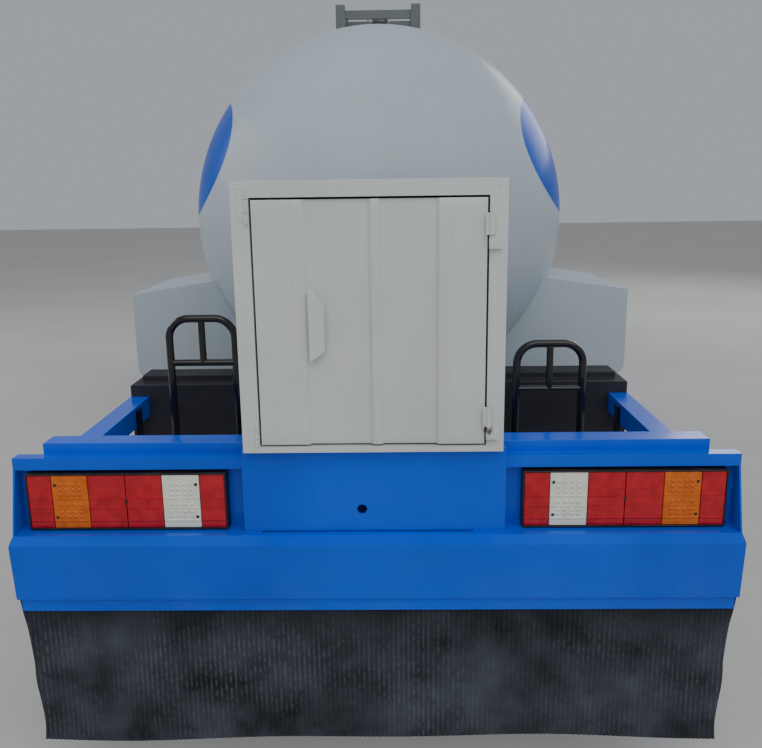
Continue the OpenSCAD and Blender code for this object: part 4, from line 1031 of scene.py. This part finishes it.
def seats():
    """Driver's seat and passenger bench as stitched cushions with sewn channels."""
    low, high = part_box("seats")
    shapes = (("driver", -0.72, -0.18), ("bench", -0.09, 0.81))
    for word, x0, x1 in shapes:
        for part, size in (
            ("base", (x0, low.y + 0.08, low.z + 0.03, x1, high.y, low.z + 0.22)),
            ("back", (x0, low.y, low.z + 0.20, x1, low.y + 0.15, high.z - 0.16)),
        ):
            cushion("seat_" + word + "_" + part, size, part == "back")
        heads = 1 if word == "driver" else 2
        for k in range(heads):
            middle = x0 + (x1 - x0) * (2 * k + 1) / (2 * heads)
            size = (middle - 0.13, low.y + 0.02, high.z - 0.15, middle + 0.13, low.y + 0.12, high.z)
            cushion("seat_" + word + "_head_" + str(k + 1), size, True)
    bm = bmesh.new()
    for word, x0, x1 in shapes:
        block(bm, (x0 + 0.04, low.y + 0.10, low.z), (x1 - 0.04, high.y - 0.05, low.z + 0.05))
        for x in (x0 + 0.09, x1 - 0.12):
            block(bm, (x, low.y + 0.06, low.z), (x + 0.03, high.y - 0.08, low.z + 0.03))
    frame_piece = piece("seat_frames", bm, BLACK_PLASTIC, "cab", 0.004)
    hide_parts("seats")


def cushion(name, size, upright):
    """A crowned pad whose sides pull in between the corners, with sewn channels."""
    x0, y0, z0, x1, y1, z1 = size
    centre = Vector(((x0 + x1) / 2, (y0 + y1) / 2, (z0 + z1) / 2))
    half = Vector(((x1 - x0) / 2, (y1 - y0) / 2, (z1 - z0) / 2))
    bm = bmesh.new()
    bmesh.ops.create_cube(bm, size=2.0)
    bmesh.ops.subdivide_edges(bm, edges=bm.edges, cuts=17, use_grid_fill=True)
    thin = 1 if upright else 2
    wide = [a for a in range(3) if a != thin]
    channels = max(3, round(2 * half.x / 0.13))
    for vert in bm.verts:
        p = vert.co.copy()
        limit = max(abs(c) for c in p)
        sphere = p.normalized() * limit
        soft = p.lerp(sphere, 0.30)
        crown = (1 - soft[wide[0]] ** 2) * (1 - soft[wide[1]] ** 2)
        pull = 1 - 0.05 * (1 - abs(p[thin]))
        soft[wide[0]] *= pull - 0.03 * (1 - p[wide[1]] ** 2)
        soft[wide[1]] *= pull - 0.03 * (1 - p[wide[0]] ** 2)
        soft[thin] *= 0.80 + 0.20 * crown
        sewn = abs(math.sin(math.pi * channels * (soft.x + 1) / 2))
        soft[thin] *= 1 - 0.10 * math.exp(-(sewn / 0.14) ** 2) * crown
        vert.co = centre + Vector((soft.x * half.x, soft.y * half.y, soft.z * half.z))
    pad = piece(name, bm, SEAT_CLOTH, "cab", sharp=80.0)
    smooth = pad.modifiers.new("smooth", "SUBSURF")
    smooth.levels = smooth.render_levels = 1


def dashboard_details():
    """Hooded dials, air vents, a radio blank and two knobs."""
    y, dial_z = 3.082, 1.585
    bm, faces = bmesh.new(), bmesh.new()
    for x, radius in ((-0.56, 0.052), (-0.43, 0.052), (-0.33, 0.03)):
        ring = [(0, radius + 0.006), (0.010, radius + 0.005), (0.010, radius), (0.002, radius)]
        lathe(bm, (x, y, dial_z), (0, -1, 0), ring, 32)
        lathe(faces, (x, y, dial_z), (0, -1, 0), [(0, radius), (0.003, radius), (0.003, 0)], 32)
        needle = Vector((0.7 * radius * math.cos(2.2), -0.0045, 0.7 * radius * math.sin(2.2)))
        sweep(bm, [Vector((x, y - 0.0045, dial_z)), Vector((x, y, dial_z)) + needle], 0.0016, 6)
    for x in (-0.12, 0.10, 0.70):
        for k in range(5):
            block(bm, (x - 0.07, y - 0.006, 1.54 + 0.016 * k), (x + 0.07, y + 0.004, 1.547 + 0.016 * k))
    block(bm, (-0.10, y - 0.005, 1.42), (0.08, y + 0.004, 1.475))
    for x in (-0.08, 0.06):
        lathe(bm, (x, y - 0.004, 1.447), (0, -1, 0), [(0, 0.012), (0.012, 0.010), (0.012, 0)], 16)
    piece("dash_details", bm, BLACK_PLASTIC, "cab", 0.0015)
    piece("dash_dials", faces, DIAL, "cab")


def headlamps():
    """Bumper lamps: a dark bowl with a bright reflector, bulb and ribbed cover glass, and an amber corner."""
    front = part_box("headlamps")[1].y
    bowls, bright, covers, corners = bmesh.new(), bmesh.new(), bmesh.new(), bmesh.new()
    x0, x1, z0, z1, wall = 0.622, 0.938, 0.602, 0.768, 0.008
    back = front - 0.060
    walls = ((x0, z0, x1, z0 + wall), (x0, z1 - wall, x1, z1), (x0, z0, x0 + wall, z1), (x1 - wall, z0, x1, z1))
    for side in SIDES:
        for a_x, a_z, b_x, b_z in walls:
            block(bowls, (side * a_x, back, a_z), (side * b_x, front - 0.001, b_z))
        block(bowls, (side * x0, back - 0.012, z0), (side * x1, back, z1))
        for centre_x, radius in ((0.715, 0.070), (0.848, 0.055)):
            rim = radius + 0.004
            dish = [(0.0, 0.012), (0.004, 0.45 * radius), (0.014, 0.75 * radius)]
            dish += [(0.034, radius), (0.036, rim), (0.0, rim)]
            bulb = [(0, 0.010), (0.022, 0.010), (0.028, 0.006), (0.030, 0)]
            lathe(bright, (side * centre_x, back, 0.685), (0, 1, 0), dish, 36)
            lathe(bright, (side * centre_x, back, 0.685), (0, 1, 0), bulb, 16)
        rows, flutes = [], 60
        for k in range(flutes + 1):
            x = x0 + 0.010 + (x1 - x0 - 0.020) * k / flutes
            bulge = 0.006 * (1 - ((x - 0.78) / 0.158) ** 2)
            y = front - 0.010 + bulge + 0.0008 * math.cos(math.pi * k)
            rows.append([(side * x, y, z0 + 0.010 + (z1 - z0 - 0.020) * j / 8) for j in range(9)])
        grid(covers, rows)
        block(corners, (side * 0.900, front - 0.030, z0 + 0.012), (side * 0.926, front - 0.016, z1 - 0.012))
    bezel = piece("headlamp_bowls", bowls, BLACK_PLASTIC, "chassis", 0.002)
    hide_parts("headlamps")
    piece("headlamp_reflectors", bright, MIRROR, "chassis")
    cover = piece("headlamp_covers", covers, LAMP_GLASS, "chassis")
    skin = cover.modifiers.new("skin", "SOLIDIFY")
    skin.thickness = 0.003
    piece("headlamp_corners", corners, AMBER, "chassis", 0.002)


# ---- running gear

def running_gear_trim():
    """U-bolts over the springs, tank straps, box catches and frame rivets."""
    bolts = bmesh.new()
    for axle_y, spring_x, low_z, top_z in ((2.5, 0.35, 0.30, 0.50), (-1.45, 0.45, 0.30, 0.56)):
        for side in SIDES:
            for dy in (-0.055, 0.055):
                for dx in (-0.042, 0.042):
                    x, y = side * spring_x + dx, axle_y + dy
                    rod(bolts, (x, y, low_z), (x, y, top_z), 0.008, 12)
                    bolt(bolts, (x, y, low_z), (0, 0, -1), 0.013)
                sweep(bolts, [
                    Vector((side * spring_x + 0.042 * math.cos(a), axle_y + dy, top_z + 0.030 * math.sin(a)))
                    for a in (math.pi * k / 10 for k in range(11))
                ], 0.008, 10)
    piece("spring_u_bolts", bolts, ZINC, "chassis")

    fuel_low, fuel_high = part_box("fuel_tank")
    straps = bmesh.new()
    for y in (fuel_low.y + 0.18, fuel_high.y - 0.22):
        loop = rounded_loop(
            fuel_low.x - 0.002, fuel_low.z - 0.002, fuel_low.x + 0.53, fuel_low.z + 0.402, 0.06,
            lambda u, v: (u, v), 6,
        )
        rows = [[(u, y + side * 0.022, v) for u, v in loop + loop[:1]] for side in SIDES]
        grid(straps, rows)
    band = piece("fuel_tank_straps", straps, ZINC, "chassis")
    thick = band.modifiers.new("strap", "SOLIDIFY")
    thick.thickness = 0.003

    catches = bmesh.new()
    box_low, box_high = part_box("battery_box")
    for y in (box_low.y + 0.10, box_high.y - 0.14):
        x, z = box_high.x, box_high.z
        block(catches, (x - 0.001, y, z - 0.12), (x + 0.010, y + 0.035, z - 0.02))
        block(catches, (x + 0.008, y + 0.006, z - 0.10), (x + 0.016, y + 0.029, z - 0.05))
    piece("battery_box_catches", catches, ZINC, "chassis", 0.002)

    rivets = bmesh.new()
    for side in SIDES:
        for k in range(24):
            y = -3.2 + 0.27 * k
            for z in (0.745, 0.855):
                rivet(rivets, (side * 0.4, y, z), (side, 0, 0), 0.009)
    piece("frame_rivets", rivets, FRAME_BLACK, "chassis")


# ---- build

def finish_cad():
    """Materials and softened edges for every CAD node that stays in view."""
    looks = (
        (FRAME_BLACK, 0.002, "frame_rails frame_fittings tank_saddles"),
        (BLUE, 0.0025, "rear_apron"),
        (BLUE, 0.003, "deck_frame"),
        (BOX_BLACK, 0.004, "cross_box"),
        (TUBE_BLACK, 0.0, "guard_hoops air_tanks"),
        (CREAM, 0.0025, "rear_cabinet"),
        (STEEL, 0.0, "cabinet_valves top_valves"),
        (TANK_WHITE, 0.006, "side_fairings"),
        (TANK_WHITE, 0.0, "tank"),
        (GREY, 0.002, "valve_guard"),
        (BLACK_PLASTIC, 0.002, "rear_mudguards"),
        (CREAM, 0.003, "side_guards"),
        (ALUMINIUM, 0.003, "fuel_tank"),
        (BLACK_PLASTIC, 0.006, "battery_box"),
        (BROWN_IRON, 0.0, "exhaust"),
        (CAST_IRON, 0.0, "drive_shaft rear_axle knuckle_left knuckle_right tie_rod"),
        (CAST_IRON, 0.001, "leaf_springs"),
        (CAST_IRON, 0.002, "front_axle"),
        (CAST_IRON, 0.008, "engine_block"),
        (BLUE, 0.006, "front_bumper"),
        (BLACK_PLASTIC, 0.003, "front_mudguards"),
        (CAB_BLUE, 0.006, "cab_shell"),
        (WINDOW, 0.0, "cab_glass door_glass_left door_glass_right"),
        (DASH, 0.006, "dashboard"),
        (BLACK_PLASTIC, 0.0, "steering_wheel tail_lamps"),
        (CAB_BLUE, 0.004, "cab_door_left cab_door_right"),
        (FLAP, 0.0, "mud_flap"),
        (LAMP_GLASS, 0.0, "headlamps"),
        (CREAM, 0.0, "cabinet_door"),
        (SEAT_CLOTH, 0.0, "seats"),
        (TYRE, 0.0, "front_wheel_left front_wheel_right rear_wheels_left rear_wheels_right"),
    )
    for material, bevel, names in looks:
        for name in names.split():
            finish_node(name, material, bevel)


add_camera()
add_stage()
finish_cad()
tail_lamps()
mud_flap()
cabinet_door()
cabinet_trim()
apron_trim()
hoop_feet()
tank_trim()
wheels()
window_seals()
cab_front()
door_details()
seats()
dashboard_details()
headlamps()
running_gear_trim()
